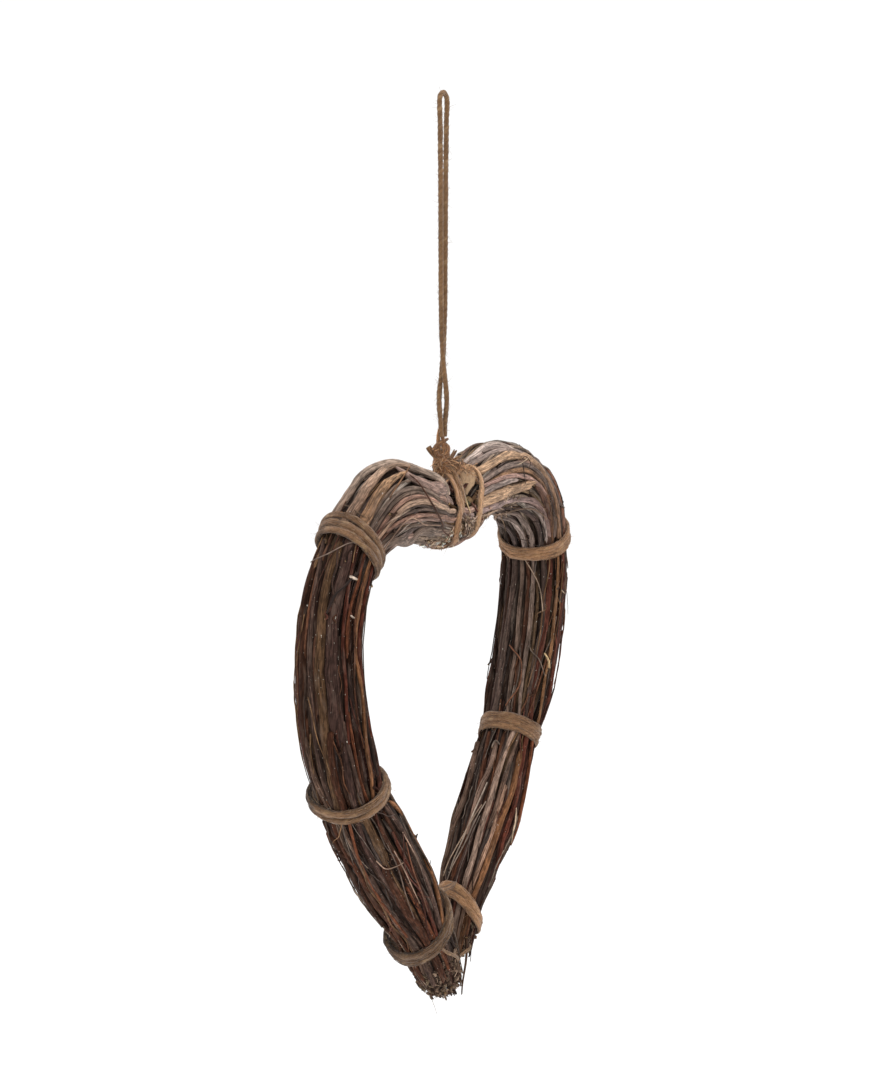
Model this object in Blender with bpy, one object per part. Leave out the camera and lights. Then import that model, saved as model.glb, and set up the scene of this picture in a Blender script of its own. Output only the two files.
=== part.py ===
"""Hanging heart ornament of brushwood, bound with jute twine.

Two bent bundles of twigs, left and right, meet in the notch at the top and in the tip at the
bottom. Each bundle is a core of fine twigs with thicker twigs lying in grooves around it. Twine
binds each bundle twice, lashes the two together at the notch and at the tip, and ends above the
notch in a knot and a long hanging loop.

Metres, +Z up. The heart lies in the XZ plane and its front faces -Y. The origin is the inner top
of the hanging loop, where the nail bears.
"""
import math

import bmesh
import bpy
import numpy as np
from mathutils import Vector

# Driving dimensions
HEART_TOP = -0.209             # height of the lobes' top line under the nail
TWIGS_PER_SIDE = 13            # thick outer twigs around each bundle
TWIG_SIDES = 5
GAP = 0.0003                   # clearance between touching pieces
GROOVE_PLAY = 0.0005           # clearance of a twig in its groove
CREST_DROP = 0.0009            # how far the fine twigs stay under the thick ones
BINDING_SQUEEZE = 0.0014       # how much a binding narrows its bundle
BINDING_REACH = 0.016          # how far along the bundle that shows
BINDING_RUN = 0.011            # straight run of the bundle on either side of a binding
TWINE = 0.0032                 # diameter of the twine
NAIL_BEND = 0.0052             # radius of the twine's bend over the nail, at its middle
NAIL_DROP = NAIL_BEND - TWINE / 2   # the bend's centre lies this far under the origin

# How evenly the thick twigs lie: each one's place and thickness differ a little from its
# neighbours', its place wanders along the bundle, and the ends are ragged. Twig k takes its share
# from a sine of k times the number given as its phase.
PLACE_SCATTER, PLACE_PHASE = 0.028, 1.9
WANDER, WANDER_PACE, WANDER_PHASE = 0.024, 17.0, 2.4
TWIG_SHARE, SHARE_SWING, SHARE_PHASE = 0.26, 0.035, 2.7
START_FIRST, START_SWING, START_PHASE = 0.0025, 0.0095, 4.1
STOP_LAST, STOP_SWING, STOP_PHASE = 0.0015, 0.0100, 5.3
END_CLEAR = 0.003              # no station of a twig nearer to its end than this

# A groove's floor by its mouth, its extra depth under the twig, how the crests between grooves
# vary, and the step down from one side of a crest to the other
GROOVE_FLOOR = 0.75
GROOVE_UNDER = 0.0013
CREST_SWING, CREST_PHASE = 0.6, 3.3
CREST_STEP = 0.0004

# Centreline of each bundle from the notch round to the tip: distance from the middle, and height
# under the lobes' top line. The heart is made by hand, so its sides aren't quite alike.
LEFT_LINE = [
    (0.0008, -0.0590),
    (0.0250, -0.0515),
    (0.0520, -0.0400),
    (0.1340, -0.0685),
    (0.1305, -0.1945),
    (0.1005, -0.2390),
    (0.0695, -0.2770),
    (0.0235, -0.3355),
    (0.0000, -0.3730),
]
RIGHT_LINE = [
    (0.0008, -0.0590),
    (0.0250, -0.0525),
    (0.0475, -0.0405),
    (0.1365, -0.0665),
    (0.1280, -0.1940),
    (0.0990, -0.2380),
    (0.0695, -0.2785),
    (0.0430, -0.3065),
    (0.0268, -0.3350),
    (0.0214, -0.3590),
]
# Half thickness of the bundle at each of those points
LEFT_HALF = [0.0170, 0.0185, 0.0262, 0.0189, 0.0218, 0.0240, 0.0245, 0.0192, 0.0152]
RIGHT_HALF = [0.0170, 0.0188, 0.0235, 0.0252, 0.0242, 0.0212, 0.0228, 0.0185, 0.0134, 0.0105]

# Places of the bindings, measured along the bundle from the notch
LEFT_BINDINGS = (0.126, 0.277)
RIGHT_BINDINGS = (0.170, 0.308)
# How far each of them tilts, and towards which angle in radians
LEFT_TILTS = ((0.0030, 2.05), (0.0, 0.0))
RIGHT_TILTS = ((0.0050, 2.36), (0.0050, -0.88))
# Straight runs of each bundle from the notch to the upper binding, across it, on to the lower
# one, across it, and on to the tip
LEFT_RUNS = (5, 1, 3, 1, 4)
RIGHT_RUNS = (7, 1, 2, 1, 3)
BINDING_WIDTH = 0.0085
BINDING_THICK = 0.0024
BINDING_STEPS = 18

# The lashing at the notch, one turn of twine round each bundle: place along the bundle, how far
# it tilts, and towards which angle in radians
LEFT_NOTCH = (0.0155, 0.007, -1.05)
RIGHT_NOTCH = (0.0235, 0.0, 0.0)
NOTCH_WIDTH = 0.0042
NOTCH_THICK = 0.0030
# The lashing at the tip, given in the same way
LEFT_TIP = (0.4265, 0.0120, -0.85)
RIGHT_TIP = (0.4410, 0.0140, 0.34)
TIP_WIDTH = 0.0080
TIP_BAND = 0.0020
CROSS_STEPS = 4
CROSS_SAG = 0.0015
CROSS_GAP = 0.0022
# The split twig in the notch lashing: place, the angles that it reaches round the right bundle
# from top to foot, in degrees, its widths on the way, and its thickness
SPLIT_AT = 0.0140
SPLIT_TOP = 28.0
SPLIT_FOOT = 92.0
SPLIT_WIDTHS = (0.0085, 0.0095, 0.0070, 0.0045, 0.0020)
SPLIT_THICK = 0.0022
SPLIT_LIFT = 0.0016

BARK = (0.115, 0.075, 0.055)
PALE_BARK = (0.30, 0.23, 0.18)
JUTE = (0.36, 0.24, 0.13)
OCHRE = (0.42, 0.27, 0.12)


def clear_scene():
    for old in list(bpy.data.objects):
        bpy.data.objects.remove(old, do_unlink=True)


def material(name, colour, roughness):
    """A plain Principled material."""
    made = bpy.data.materials.new(name)
    made.use_nodes = True
    shader = made.node_tree.nodes["Principled BSDF"]
    shader.inputs["Base Color"].default_value = (*colour, 1.0)
    shader.inputs["Roughness"].default_value = roughness
    shader.inputs["Metallic"].default_value = 0.0
    return made


def smooth_curve(points):
    """A natural cubic spline through the points, as a function of the distance along them."""
    points = np.array(points, float)
    at = np.concatenate([[0.0], np.cumsum(np.linalg.norm(np.diff(points, axis=0), axis=1))])
    step = np.diff(at)
    count = len(at)
    system = np.eye(count)
    slopes = np.zeros((count, points.shape[1]))
    for i in range(1, count - 1):
        system[i, i - 1:i + 2] = (step[i - 1], 2 * (step[i - 1] + step[i]), step[i])
        rise = (points[i + 1] - points[i]) / step[i] - (points[i] - points[i - 1]) / step[i - 1]
        slopes[i] = 6 * rise
    bend = np.linalg.solve(system, slopes)

    def place(s):
        i = min(max(int(np.searchsorted(at, s)) - 1, 0), count - 2)
        after = s - at[i]
        before = at[i + 1] - s
        run = step[i]
        curve = (bend[i] * before ** 3 + bend[i + 1] * after ** 3) / (6 * run)
        start = (points[i] / run - bend[i] * run / 6) * before
        end = (points[i + 1] / run - bend[i + 1] * run / 6) * after
        return curve + start + end

    return place, [float(s) for s in at]


class Bundle:
    """One side's bundle: its centreline, thickness and the frame of each station along it."""

    def __init__(self, side, line, halves, bindings, runs):
        self.side = side
        self.bindings = bindings
        self.place, self.at = smooth_curve(line)
        self.halves = halves
        self.length = self.at[-1]
        upper, lower = bindings
        ends = (0.0, upper - BINDING_RUN, upper + BINDING_RUN, lower - BINDING_RUN,
                lower + BINDING_RUN, self.length)
        stations = [0.0]
        for start, stop, steps in zip(ends, ends[1:], runs):
            stations += [start + (stop - start) * i / steps for i in range(1, steps + 1)]
        self.stations = stations
        self.frames = [self.exact(s) for s in stations]

    def half(self, s):
        """Half thickness at s: eased between the given values, narrower in the bindings."""
        i = min(max(int(np.searchsorted(self.at, s)) - 1, 0), len(self.at) - 2)
        t = min(max((s - self.at[i]) / (self.at[i + 1] - self.at[i]), 0.0), 1.0)
        t = t * t * (3 - 2 * t)
        half = self.halves[i] * (1 - t) + self.halves[i + 1] * t
        for binding in self.bindings:
            half -= BINDING_SQUEEZE * math.exp(-((s - binding) / BINDING_REACH) ** 2)
        return half

    def exact(self, s):
        """Centre, outward normal, direction of travel and half thickness at a station."""
        tiny = 0.0005
        here = self.place(s)
        way = self.place(s + tiny) - self.place(s - tiny)
        way = way / np.linalg.norm(way)
        if s == 0.0:
            way = np.array([1.0, 0.0])      # the two bundles are cut upright where they meet
        centre = Vector((self.side * here[0], 0.0, HEART_TOP + here[1]))
        along = Vector((self.side * way[0], 0.0, way[1]))
        out = Vector((-self.side * way[1], 0.0, way[0]))
        return centre, out, along, self.half(s)

    def frame(self, s):
        """The frame between two stations, on the straight run that joins them."""
        i = min(max(int(np.searchsorted(self.stations, s)) - 1, 0), len(self.stations) - 2)
        t = (s - self.stations[i]) / (self.stations[i + 1] - self.stations[i])
        one, two = self.frames[i], self.frames[i + 1]
        centre, out, along = (one[k].lerp(two[k], t) for k in range(3))
        return centre, out.normalized(), along.normalized(), one[3] * (1 - t) + two[3] * t


FRONT = Vector((0.0, -1.0, 0.0))


def twig_angle(k, s):
    """Where twig k lies around its bundle at s: each wanders a little on its way."""
    even = 2 * math.pi * k / TWIGS_PER_SIDE
    scatter = PLACE_SCATTER * math.sin(PLACE_PHASE * k)
    return even + scatter + WANDER * math.sin(WANDER_PACE * s + WANDER_PHASE * k)


def twig_half(k, half):
    """Radius of twig k where its bundle is so thick: a share of its even spacing."""
    share = TWIG_SHARE + SHARE_SWING * math.sin(SHARE_PHASE * k + 0.6)
    return share * 2 * math.pi * half / TWIGS_PER_SIDE


def twig_place(bundle, k, s):
    """Centre of twig k at s, with its outward and sideways directions and its radius."""
    centre, out, along, half = bundle.frame(s)
    angle = twig_angle(k, s)
    radial = out * math.cos(angle) + FRONT * math.sin(angle)
    sideways = FRONT * math.cos(angle) - out * math.sin(angle)
    radius = twig_half(k, half)
    return centre + radial * (half - radius), radial, sideways, radius


def twig_ends(bundle, k):
    """Start and end of twig k: both ends of a bundle are ragged."""
    start = START_FIRST + START_SWING * (1 + math.sin(START_PHASE * k + 1.0))
    stop = bundle.length - STOP_LAST - STOP_SWING * (1 + math.sin(STOP_PHASE * k + 0.4))
    return start, stop


def add_object(name, mesh, look, sharp=35.0):
    mesh.shade_smooth()
    mesh.set_sharp_from_angle(angle=math.radians(sharp))
    made = bpy.data.objects.new(name, mesh)
    made.data.materials.append(look)
    bpy.context.collection.objects.link(made)
    return made


def loft(name, rings, look, closed=False):
    """A solid through rings of points: capped at both ends, or closed on itself."""
    work = bmesh.new()
    rows = [[work.verts.new(point) for point in ring] for ring in rings]
    count = len(rows[0])
    steps = len(rows) if closed else len(rows) - 1
    for i in range(steps):
        low, high = rows[i], rows[(i + 1) % len(rows)]
        for j in range(count):
            after = (j + 1) % count
            work.faces.new((low[j], low[after], high[after], high[j]))
    if not closed:
        work.faces.new(rows[0])
        work.faces.new(rows[-1])
    bmesh.ops.recalc_face_normals(work, faces=work.faces)
    mesh = bpy.data.meshes.new(name)
    work.to_mesh(mesh)
    work.free()
    return add_object(name, mesh, look)


def fine_twigs(bundle, name, look):
    """The core of fine twigs: a fluted solid with a groove for each thick twig."""
    rings = []
    for s in bundle.stations:
        ring = []
        for k in range(TWIGS_PER_SIDE):
            middle, radial, sideways, radius = twig_place(bundle, k, s)
            mouth = radius + GROOVE_PLAY
            floor = GROOVE_FLOOR * mouth
            crest = radius - CREST_DROP * (1.0 + CREST_SWING * math.sin(CREST_PHASE * k))
            depth = radius + GROOVE_UNDER
            ring.append(middle - sideways * mouth + radial * crest)
            ring.append(middle - sideways * floor - radial * depth)
            ring.append(middle + sideways * floor - radial * depth)
            ring.append(middle + sideways * mouth + radial * (crest - CREST_STEP))
        rings.append(ring)
    return loft(name, rings, look)


def thick_twig(bundle, k, name, look):
    """One of the thick outer twigs, along the whole bundle in its groove."""
    start, stop = twig_ends(bundle, k)
    inside = [s for s in bundle.stations if start + END_CLEAR < s < stop - END_CLEAR]
    places = [start] + inside + [stop]
    rings = []
    for s in places:
        middle, radial, sideways, radius = twig_place(bundle, k, s)
        ring = []
        for j in range(TWIG_SIDES):
            turn = 2 * math.pi * j / TWIG_SIDES
            ring.append(middle + radius * (radial * math.cos(turn) + sideways * math.sin(turn)))
        rings.append(ring)
    return loft(name, rings, look)


# A turn of twine in cross-section: half width of its flat top by its width, the height of the
# valley between two turns by the turns' own, and what the band keeps from the bundle
FLAT_TOP = 0.3
VALLEY = 0.62
BAND_PLAY = 0.0001


def wrap(bundle, s, name, look, width, thick, turns, tilt=0.0, lean=0.0, steps=BINDING_STEPS):
    """Turns of twine round a bundle, as one band with a ridge for each turn.

    tilt moves the band along the bundle by that much, forwards and back, round the angle lean.
    """
    facet = math.cos(math.pi / steps)
    rings = []
    for i in range(steps):
        angle = 2 * math.pi * i / steps
        middle = s + tilt * math.cos(angle - lean)
        reach = max(bundle.frame(middle + edge * width)[3] for edge in (-0.5, 0.0, 0.5))
        inner = (reach + GAP) / facet + BAND_PLAY
        centre, out, along, _ = bundle.frame(middle)
        radial = out * math.cos(angle) + FRONT * math.sin(angle)
        profile = [(-0.5, 0.0), (0.5, 0.0)]
        for turn in range(turns):
            across = 0.5 - (turn + 0.5) / turns
            if turns == 1:
                profile += [(FLAT_TOP, 1.0), (-FLAT_TOP, 1.0)]
            else:
                profile.append((across, 1.0))
            if turn < turns - 1:
                profile.append((across - 0.5 / turns, VALLEY))
        ring = []
        for across, up in profile:
            ring.append(centre + along * (across * width) + radial * (inner + up * thick))
        rings.append(ring)
    return loft(name, rings, look, closed=True)


def tube_rings(points, radii, sides):
    """Rings round a line of points, for a short bent piece."""
    rings = []
    side = Vector((0.0, 1.0, 0.0))
    for i, point in enumerate(points):
        ahead = points[min(i + 1, len(points) - 1)]
        behind = points[max(i - 1, 0)]
        way = (ahead - behind).normalized()
        across = way.cross(side).normalized()
        other = way.cross(across)
        ring = []
        for j in range(sides):
            turn = 2 * math.pi * j / sides
            ring.append(point + radii[i] * (across * math.cos(turn) + other * math.sin(turn)))
        rings.append(ring)
    return rings


def ring_side(bundle, s, angle, off):
    """A point beside a bundle at s, that far off its surface on the side of the angle."""
    centre, out, _, half = bundle.frame(s)
    return centre + (out * math.cos(angle) + FRONT * math.sin(angle)) * (half + off)


def tip_cross(left, right, look):
    """The strand of the tip lashing that crosses from one bundle to the other."""
    ends = []
    for bundle, (s, tilt, lean) in ((left, LEFT_TIP), (right, RIGHT_TIP)):
        middle = s + tilt * math.cos(math.pi - lean)
        ends.append(ring_side(bundle, middle, math.pi, TIP_BAND + CROSS_GAP))
    start, stop = ends
    points = []
    for i in range(CROSS_STEPS + 1):
        t = i / CROSS_STEPS
        sag = Vector((0.0, 0.0, -CROSS_SAG * 4 * t * (1 - t)))
        points.append(start.lerp(stop, t) + sag)
    return loft("tip_lashing_cross", tube_rings(points, [TWINE / 2] * len(points), 6), look)


def split_twig(bundle, look):
    """The split wedge of twig that the notch lashing holds against the front."""
    rings = []
    steps = len(SPLIT_WIDTHS)
    centre, out, along, half = bundle.frame(SPLIT_AT)
    for i, width in enumerate(SPLIT_WIDTHS):
        angle = math.radians(SPLIT_TOP + (SPLIT_FOOT - SPLIT_TOP) * i / (steps - 1))
        radial = out * math.cos(angle) + FRONT * math.sin(angle)
        low = half + SPLIT_LIFT
        corners = [(-0.5, low), (0.5, low), (0.25, low + SPLIT_THICK), (-0.3, low + SPLIT_THICK)]
        rings.append([centre + along * (width * x) + radial * up for x, up in corners])
    return loft("split_twig", rings, look)


# The knot above the notch: height over its base, half width along X and along Y
KNOT_BASE = HEART_TOP - 0.0400
KNOT_PROFILE = [
    (0.0000, 0.0045, 0.0090),
    (0.0080, 0.0050, 0.0080),
    (0.0125, 0.0060, 0.0100),
    (0.0170, 0.0068, 0.0105),
    (0.0215, 0.0060, 0.0068),
    (0.0235, 0.0048, 0.0046),
    (0.0265, 0.0060, 0.0058),
    (0.0305, 0.0062, 0.0060),
    (0.0340, 0.0048, 0.0044),
    (0.0362, 0.0038, 0.0034),
]
KNOT_SIDES = 10
KNOT_LUMP = 0.09               # how much its three-sided lumps stand out
KNOT_TWIST = 260.0             # how far they turn on the way up, in radians a metre
# The cut tail: points over the knot's base, with its radius at each
TAIL = [(-0.0030, 0.0020, 0.0215), (-0.0065, 0.0065, 0.0250), (-0.0085, 0.0095, 0.0305)]
TAIL_RADII = [0.0017, 0.0018, 0.0017]


def knot(look):
    """The knot in the twine, with its cut tail sticking out beside it."""
    rings = []
    for height, wide, deep in KNOT_PROFILE:
        ring = []
        for j in range(KNOT_SIDES):
            turn = 2 * math.pi * j / KNOT_SIDES
            swell = 1.0 + KNOT_LUMP * math.sin(3 * turn + KNOT_TWIST * height)
            x = wide * swell * math.cos(turn)
            y = deep * swell * math.sin(turn)
            ring.append(Vector((x, y, KNOT_BASE + height)))
        rings.append(ring)
    body = loft("hanger_knot", rings, look)
    points = [Vector((x, y, KNOT_BASE + z)) for x, y, z in TAIL]
    tail = loft("knot_tail_shape", tube_rings(points, TAIL_RADII, 6), look)
    tail.hide_render = True
    tail.display_type = "WIRE"
    join = body.modifiers.new("tail", "BOOLEAN")
    join.operation = "UNION"
    join.object = tail
    return body


# One strand of the hanging loop from the nail down to the knot: X, Y and Z. The other strand is
# this one turned half round the middle. The two cross over above the knot.
LOOP_ROUTE = [
    (NAIL_BEND, 0.0000, -NAIL_DROP),
    (0.0050, 0.0000, -0.0090),
    (0.0042, 0.0000, -0.0250),
    (0.0038, 0.0001, -0.0500),
    (0.0037, 0.0002, -0.0800),
    (0.0036, 0.0003, -0.1100),
    (0.0034, 0.0006, -0.1400),
    (0.0028, 0.0014, -0.1620),
    (0.0014, 0.0022, -0.1760),
    (-0.0006, 0.0023, -0.1860),
    (-0.0017, 0.0015, -0.1950),
    (-0.0020, 0.0006, -0.2030),
    (-0.0020, 0.0002, -0.2100),
]


# Distance between the loop's points: hanging straight, and in the bend over the nail, which
# reaches this far along the twine on either side
STRAIGHT_STEP = 3 * TWINE
BEND_STEP = TWINE
NAIL_REACH = 0.016


def hanging_loop(look):
    """The twine from the knot up, over the nail and down again, as one cord."""
    bend = []
    for turn in (30, 60, 90, 120, 150):
        angle = math.radians(turn)
        bend.append((NAIL_BEND * math.cos(angle), 0.0, NAIL_BEND * math.sin(angle) - NAIL_DROP))
    knot_top = KNOT_BASE + KNOT_PROFILE[-1][0] + GAP
    down = LOOP_ROUTE[:-1] + [(LOOP_ROUTE[-1][0], LOOP_ROUTE[-1][1], knot_top)]
    other = [(-x, -y, z) for x, y, z in down]
    route, at = smooth_curve(down[::-1] + bend + other)
    places = [0.0]
    while places[-1] < at[-1] - STRAIGHT_STEP:
        over_nail = abs(places[-1] - at[-1] / 2) < NAIL_REACH
        places.append(places[-1] + (BEND_STEP if over_nail else STRAIGHT_STEP))
    places[-1] = at[-1]
    curve = bpy.data.curves.new("hanging_loop", "CURVE")
    curve.dimensions = "3D"
    curve.bevel_depth = TWINE / 2
    curve.bevel_resolution = 2
    curve.use_fill_caps = True
    spline = curve.splines.new("POLY")
    spline.points.add(len(places) - 1)
    for point, s in zip(spline.points, places):
        point.co = (*route(s), 1.0)
    made = bpy.data.objects.new("hanging_loop", curve)
    made.data.materials.append(look)
    bpy.context.collection.objects.link(made)
    return made


def main():
    clear_scene()
    bark = material("bark", BARK, 0.85)
    pale = material("pale_bark", PALE_BARK, 0.8)
    jute = material("jute", JUTE, 0.9)
    ochre = material("split_wood", OCHRE, 0.75)
    left = Bundle(-1, LEFT_LINE, LEFT_HALF, LEFT_BINDINGS, LEFT_RUNS)
    right = Bundle(1, RIGHT_LINE, RIGHT_HALF, RIGHT_BINDINGS, RIGHT_RUNS)
    for bundle, side, tilts in ((left, "left", LEFT_TILTS), (right, "right", RIGHT_TILTS)):
        fine_twigs(bundle, side + "_fine_twigs", bark)
        for k in range(TWIGS_PER_SIDE):
            look = pale if k % 3 == 0 else bark
            thick_twig(bundle, k, "%s_twig_%02d" % (side, k + 1), look)
        for place, s, (tilt, lean) in zip(("upper", "lower"), bundle.bindings, tilts):
            name = "%s_%s_binding" % (side, place)
            wrap(bundle, s, name, jute, BINDING_WIDTH, BINDING_THICK, 3, tilt, lean)
    for bundle, side, place in ((left, "left", LEFT_NOTCH), (right, "right", RIGHT_NOTCH)):
        s, tilt, lean = place
        wrap(bundle, s, side + "_notch_lashing", jute, NOTCH_WIDTH, NOTCH_THICK, 1, tilt, lean, 14)
    for bundle, side, place in ((left, "left", LEFT_TIP), (right, "right", RIGHT_TIP)):
        s, tilt, lean = place
        wrap(bundle, s, side + "_tip_lashing", jute, TIP_WIDTH, TIP_BAND, 2, tilt, lean, 16)
    tip_cross(left, right, jute)
    split_twig(right, ochre)
    knot(jute)
    hanging_loop(jute)


main()
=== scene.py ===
"""Looks of the hanging brushwood heart: every twig of its two bundles, the flat jute that binds
them, the knot and the hanging loop. Metres, +Z up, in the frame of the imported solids.

A place on a bundle is given by s, the way along its middle from the notch, and by an angle round
it: 0 points away from the heart, 90 to the front, 180 to the heart's middle, 270 to the wall.
The twigs that the photograph shows are placed by pixels of its 870 x 1087 frame, and each lies
on the surface of its bundle. The others follow the same lanes as in the solids.
"""

import math
from collections import namedtuple

import bpy
import numpy as np
from mathutils import Matrix, Vector


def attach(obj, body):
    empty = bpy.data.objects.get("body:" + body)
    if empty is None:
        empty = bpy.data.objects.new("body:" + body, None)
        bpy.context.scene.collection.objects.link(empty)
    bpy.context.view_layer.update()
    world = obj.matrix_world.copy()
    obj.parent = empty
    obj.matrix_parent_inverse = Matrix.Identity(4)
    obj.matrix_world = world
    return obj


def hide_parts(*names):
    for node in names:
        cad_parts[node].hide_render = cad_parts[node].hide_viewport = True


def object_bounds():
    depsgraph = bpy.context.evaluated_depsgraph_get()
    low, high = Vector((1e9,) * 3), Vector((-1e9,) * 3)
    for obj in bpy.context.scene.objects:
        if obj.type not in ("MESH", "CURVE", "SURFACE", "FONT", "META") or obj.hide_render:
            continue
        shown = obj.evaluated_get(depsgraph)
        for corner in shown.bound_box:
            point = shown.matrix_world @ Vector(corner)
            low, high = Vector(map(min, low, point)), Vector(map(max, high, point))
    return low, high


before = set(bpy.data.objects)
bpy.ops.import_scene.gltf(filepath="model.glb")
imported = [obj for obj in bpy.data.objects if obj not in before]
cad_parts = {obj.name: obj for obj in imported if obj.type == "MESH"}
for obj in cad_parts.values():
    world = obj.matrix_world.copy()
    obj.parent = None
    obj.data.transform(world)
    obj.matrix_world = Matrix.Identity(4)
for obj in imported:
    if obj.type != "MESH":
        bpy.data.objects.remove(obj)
cad_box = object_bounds()

# Driving sizes of the solids, repeated from the part's source
HEART_TOP = -0.209
TWIGS_PER_SIDE = 13
TWINE = 0.0032
NAIL_BEND = 0.0052
NAIL_DROP = NAIL_BEND - TWINE / 2
BINDING_SQUEEZE = 0.0014
BINDING_REACH = 0.016
LEFT_LINE = [(0.0008, -0.0590), (0.0250, -0.0515), (0.0520, -0.0400), (0.1340, -0.0685),
             (0.1305, -0.1945), (0.1005, -0.2390), (0.0695, -0.2770), (0.0235, -0.3355),
             (0.0000, -0.3730)]
RIGHT_LINE = [(0.0008, -0.0590), (0.0250, -0.0525), (0.0475, -0.0405), (0.1365, -0.0665),
              (0.1280, -0.1940), (0.0990, -0.2380), (0.0695, -0.2785), (0.0430, -0.3065),
              (0.0268, -0.3350), (0.0214, -0.3590)]
LEFT_HALF = [0.0170, 0.0185, 0.0262, 0.0189, 0.0218, 0.0240, 0.0245, 0.0192, 0.0152]
RIGHT_HALF = [0.0170, 0.0188, 0.0235, 0.0252, 0.0242, 0.0212, 0.0228, 0.0185, 0.0134, 0.0105]
LEFT_BINDINGS = (0.126, 0.277)
RIGHT_BINDINGS = (0.170, 0.308)
LEFT_TILTS = ((0.0030, 2.05), (0.0, 0.0))
RIGHT_TILTS = ((0.0050, 2.36), (0.0050, -0.88))
LEFT_TIP = (0.4265, 0.0120, -0.85)
RIGHT_TIP = (0.4410, 0.0140, 0.34)
KNOT_BASE = HEART_TOP - 0.0400
KNOT_TOP = KNOT_BASE + 0.0365
FRONT = np.array([0.0, -1.0, 0.0])

# The photograph's camera: where it stands, its axes and its focal length in pixels
CAMERA_AT = np.array([-1.0400, -0.5073, -0.0811])
CAMERA_FORWARD = np.array([0.88368, 0.43577, -0.17092])
CAMERA_RIGHT = np.array([0.44238, -0.89683, 0.00065])
CAMERA_UP = np.array([0.15300, 0.07618, 0.98529])
PICTURE = (870.0, 1087.0)
FOCAL = 1818.2

# Over this run from the notch a bundle turns from level to its own direction
NECK_RUN = 0.0228
# Where the lobes' pale bark ends on each bundle
LOBE_END = {"left": 0.115, "right": 0.135}
# The common twigs lie this much deeper where placed ones cover them: on the side that faces the
# camera, up to the first angle from its middle, fading out to the second
COVER_DEPTH = 0.0028
COVER_FULL = 58.0
COVER_NONE = 80.0
COVER_ENDS = 0.012
# Painted shade between the twigs, darker the deeper they lie in the bundle: from which depth, how quickly and how
# much they darken
UNSHADED_DEPTH = 0.0009
DARK_DEPTH = 0.0029
DARKEST = 0.92
# Points along a placed twig are this far apart, on a bundle about this thick
STEP = 0.0022
MEAN_HALF = 0.022

# How far the placed twigs may run past the notch, and where the others start
NECK_OVERLAP = 0.004
NECK_START = 0.003
FILLER_LANES = 44
BRIDGES = 18
HIGH_BRIDGES = 14
# Twigs under a lower binding run on to the bundle's end
TO_END = 0.045
# Jute: fibres that lie along a metre of strand, how high a binding's middle lies off its bundle,
# and the length of one turn of the twine's plies
LYING_FIBRES = 900
# A strand's rims and underside keep this share of its top's light, as painted shade
EDGE_SHADE = 0.5
BULGE_NARROW = 7.0
# The splinter that hangs from the right bundle's end, from its start to its end
SPLINTER = CAMERA_RIGHT * -0.0022 - np.array([0.0, 0.0, 0.0400])
# How many degrees further round the right lobe the common twigs lie deeper
WIDER_COVER = {"left": 0.0, "right": 35.0}
# A lobe's placed twigs grow so much darker towards the binding: on the right lobe this darkening is painted shade
LOBE_FADE = {"left": (0.45, 0.034), "right": (0.60, 0.070)}
FADE_TONE = np.array([0.90, 1.0, 1.05])
# The placed twigs stop this far before a bundle's crumbly end
BARE_END = {"left": 0.022, "right": 0.004}
# The bundles' ends, under the tip lashing, are so much darker
END_FADE = {"left": 0.0, "right": 0.58}
END_RUN = 0.055
LOOSE_STEPS = 9
# The thin strand between the bundles' ends: three pixels on the left one, two on the right one
TIP_THREAD = ((440.0, 946.5), (445.0, 951.0), (450.0, 953.5), (462.5, 952.0), (468.0, 948.0))
TIP_THREAD_LIFT = np.array([0.0010, 0.0016, 0.0026, 0.0018, 0.0012])
# Where a binding's strand starts round its bundle, out of the photograph's sight
BINDING_START = {"left": 200.0, "right": 330.0}
THREADS = 110
SAG_NARROW = 4.0
LASHING_SHADE = 0.5
BINDING_THICK = 0.0024
# Under a binding that stands off: how far round its strands go, and how dark they are, darkened as painted shade
FILL_TURN = 0.75
FILL_SHADE = 0.30
PALE_JUTE = np.array([1.50, 1.50, 1.52])
KNOT_TINT = np.array([0.90, 0.77, 0.64])
KNOT_DUST = np.array([1.0, 0.98, 0.96])
# The strands above this pixel row are so much lighter
KNOT_MIDDLE = 457.0
KNOT_TOP_LIGHT = 1.5
# A binding that stands off is darkened there by this share, as painted shade
BULGE_PAINTED_SHADE = 0.62
FLUFF_LIGHT = np.array([2.6, 2.65, 2.6])
# Loose pieces on a lobe lie this much deeper
LOBE_SUNK = 0.0026
MATTED_LIFT = 0.0012
STRING_LAY = 0.0075
# Light: all round, and a soft lamp from above
WORLD_LIGHT = 1.05
LAMP_AT = (-0.3, -0.3, 1.1)
LAMP_AIM = (0.0, 0.0, -0.3)
LAMP_SIZE = 0.9
LAMP_POWER = 9.0
FLOOR_DROP = 0.14


def rgb(red, green, blue):
    """A colour from 0 to 255, as linear light."""
    return np.array([(c / 255.0) ** 2.2 for c in (red, green, blue)])


# Colours of bark, by name
BARK = {
    "pale": rgb(182, 162, 140), "light_grey": rgb(164, 150, 138), "beige": rgb(166, 144, 126),
    "pink": rgb(160, 130, 116), "mauve": rgb(148, 128, 120), "grey": rgb(134, 120, 110),
    "ochre": rgb(160, 132, 104), "straw": rgb(182, 158, 122), "tan": rgb(138, 106, 78),
    "dust": rgb(112, 98, 88), "slate": rgb(92, 80, 74), "purple": rgb(84, 70, 66),
    "olive": rgb(98, 82, 64), "brown": rgb(84, 60, 48), "umber": rgb(68, 50, 40),
    "dark": rgb(54, 41, 35), "red": rgb(98, 62, 52), "rust": rgb(118, 80, 60),
    "chip": rgb(236, 226, 210),
}
LIMB_BARK = [BARK[name] * (0.57, 0.49, 0.44) for name in ("umber", "brown", "purple", "slate", "brown", "dark",
                                            "olive", "red", "dust")]
LOBE_BARK = [BARK[name] * 0.85 for name in ("light_grey", "beige", "pink", "ochre", "mauve", "grey")]
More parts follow.
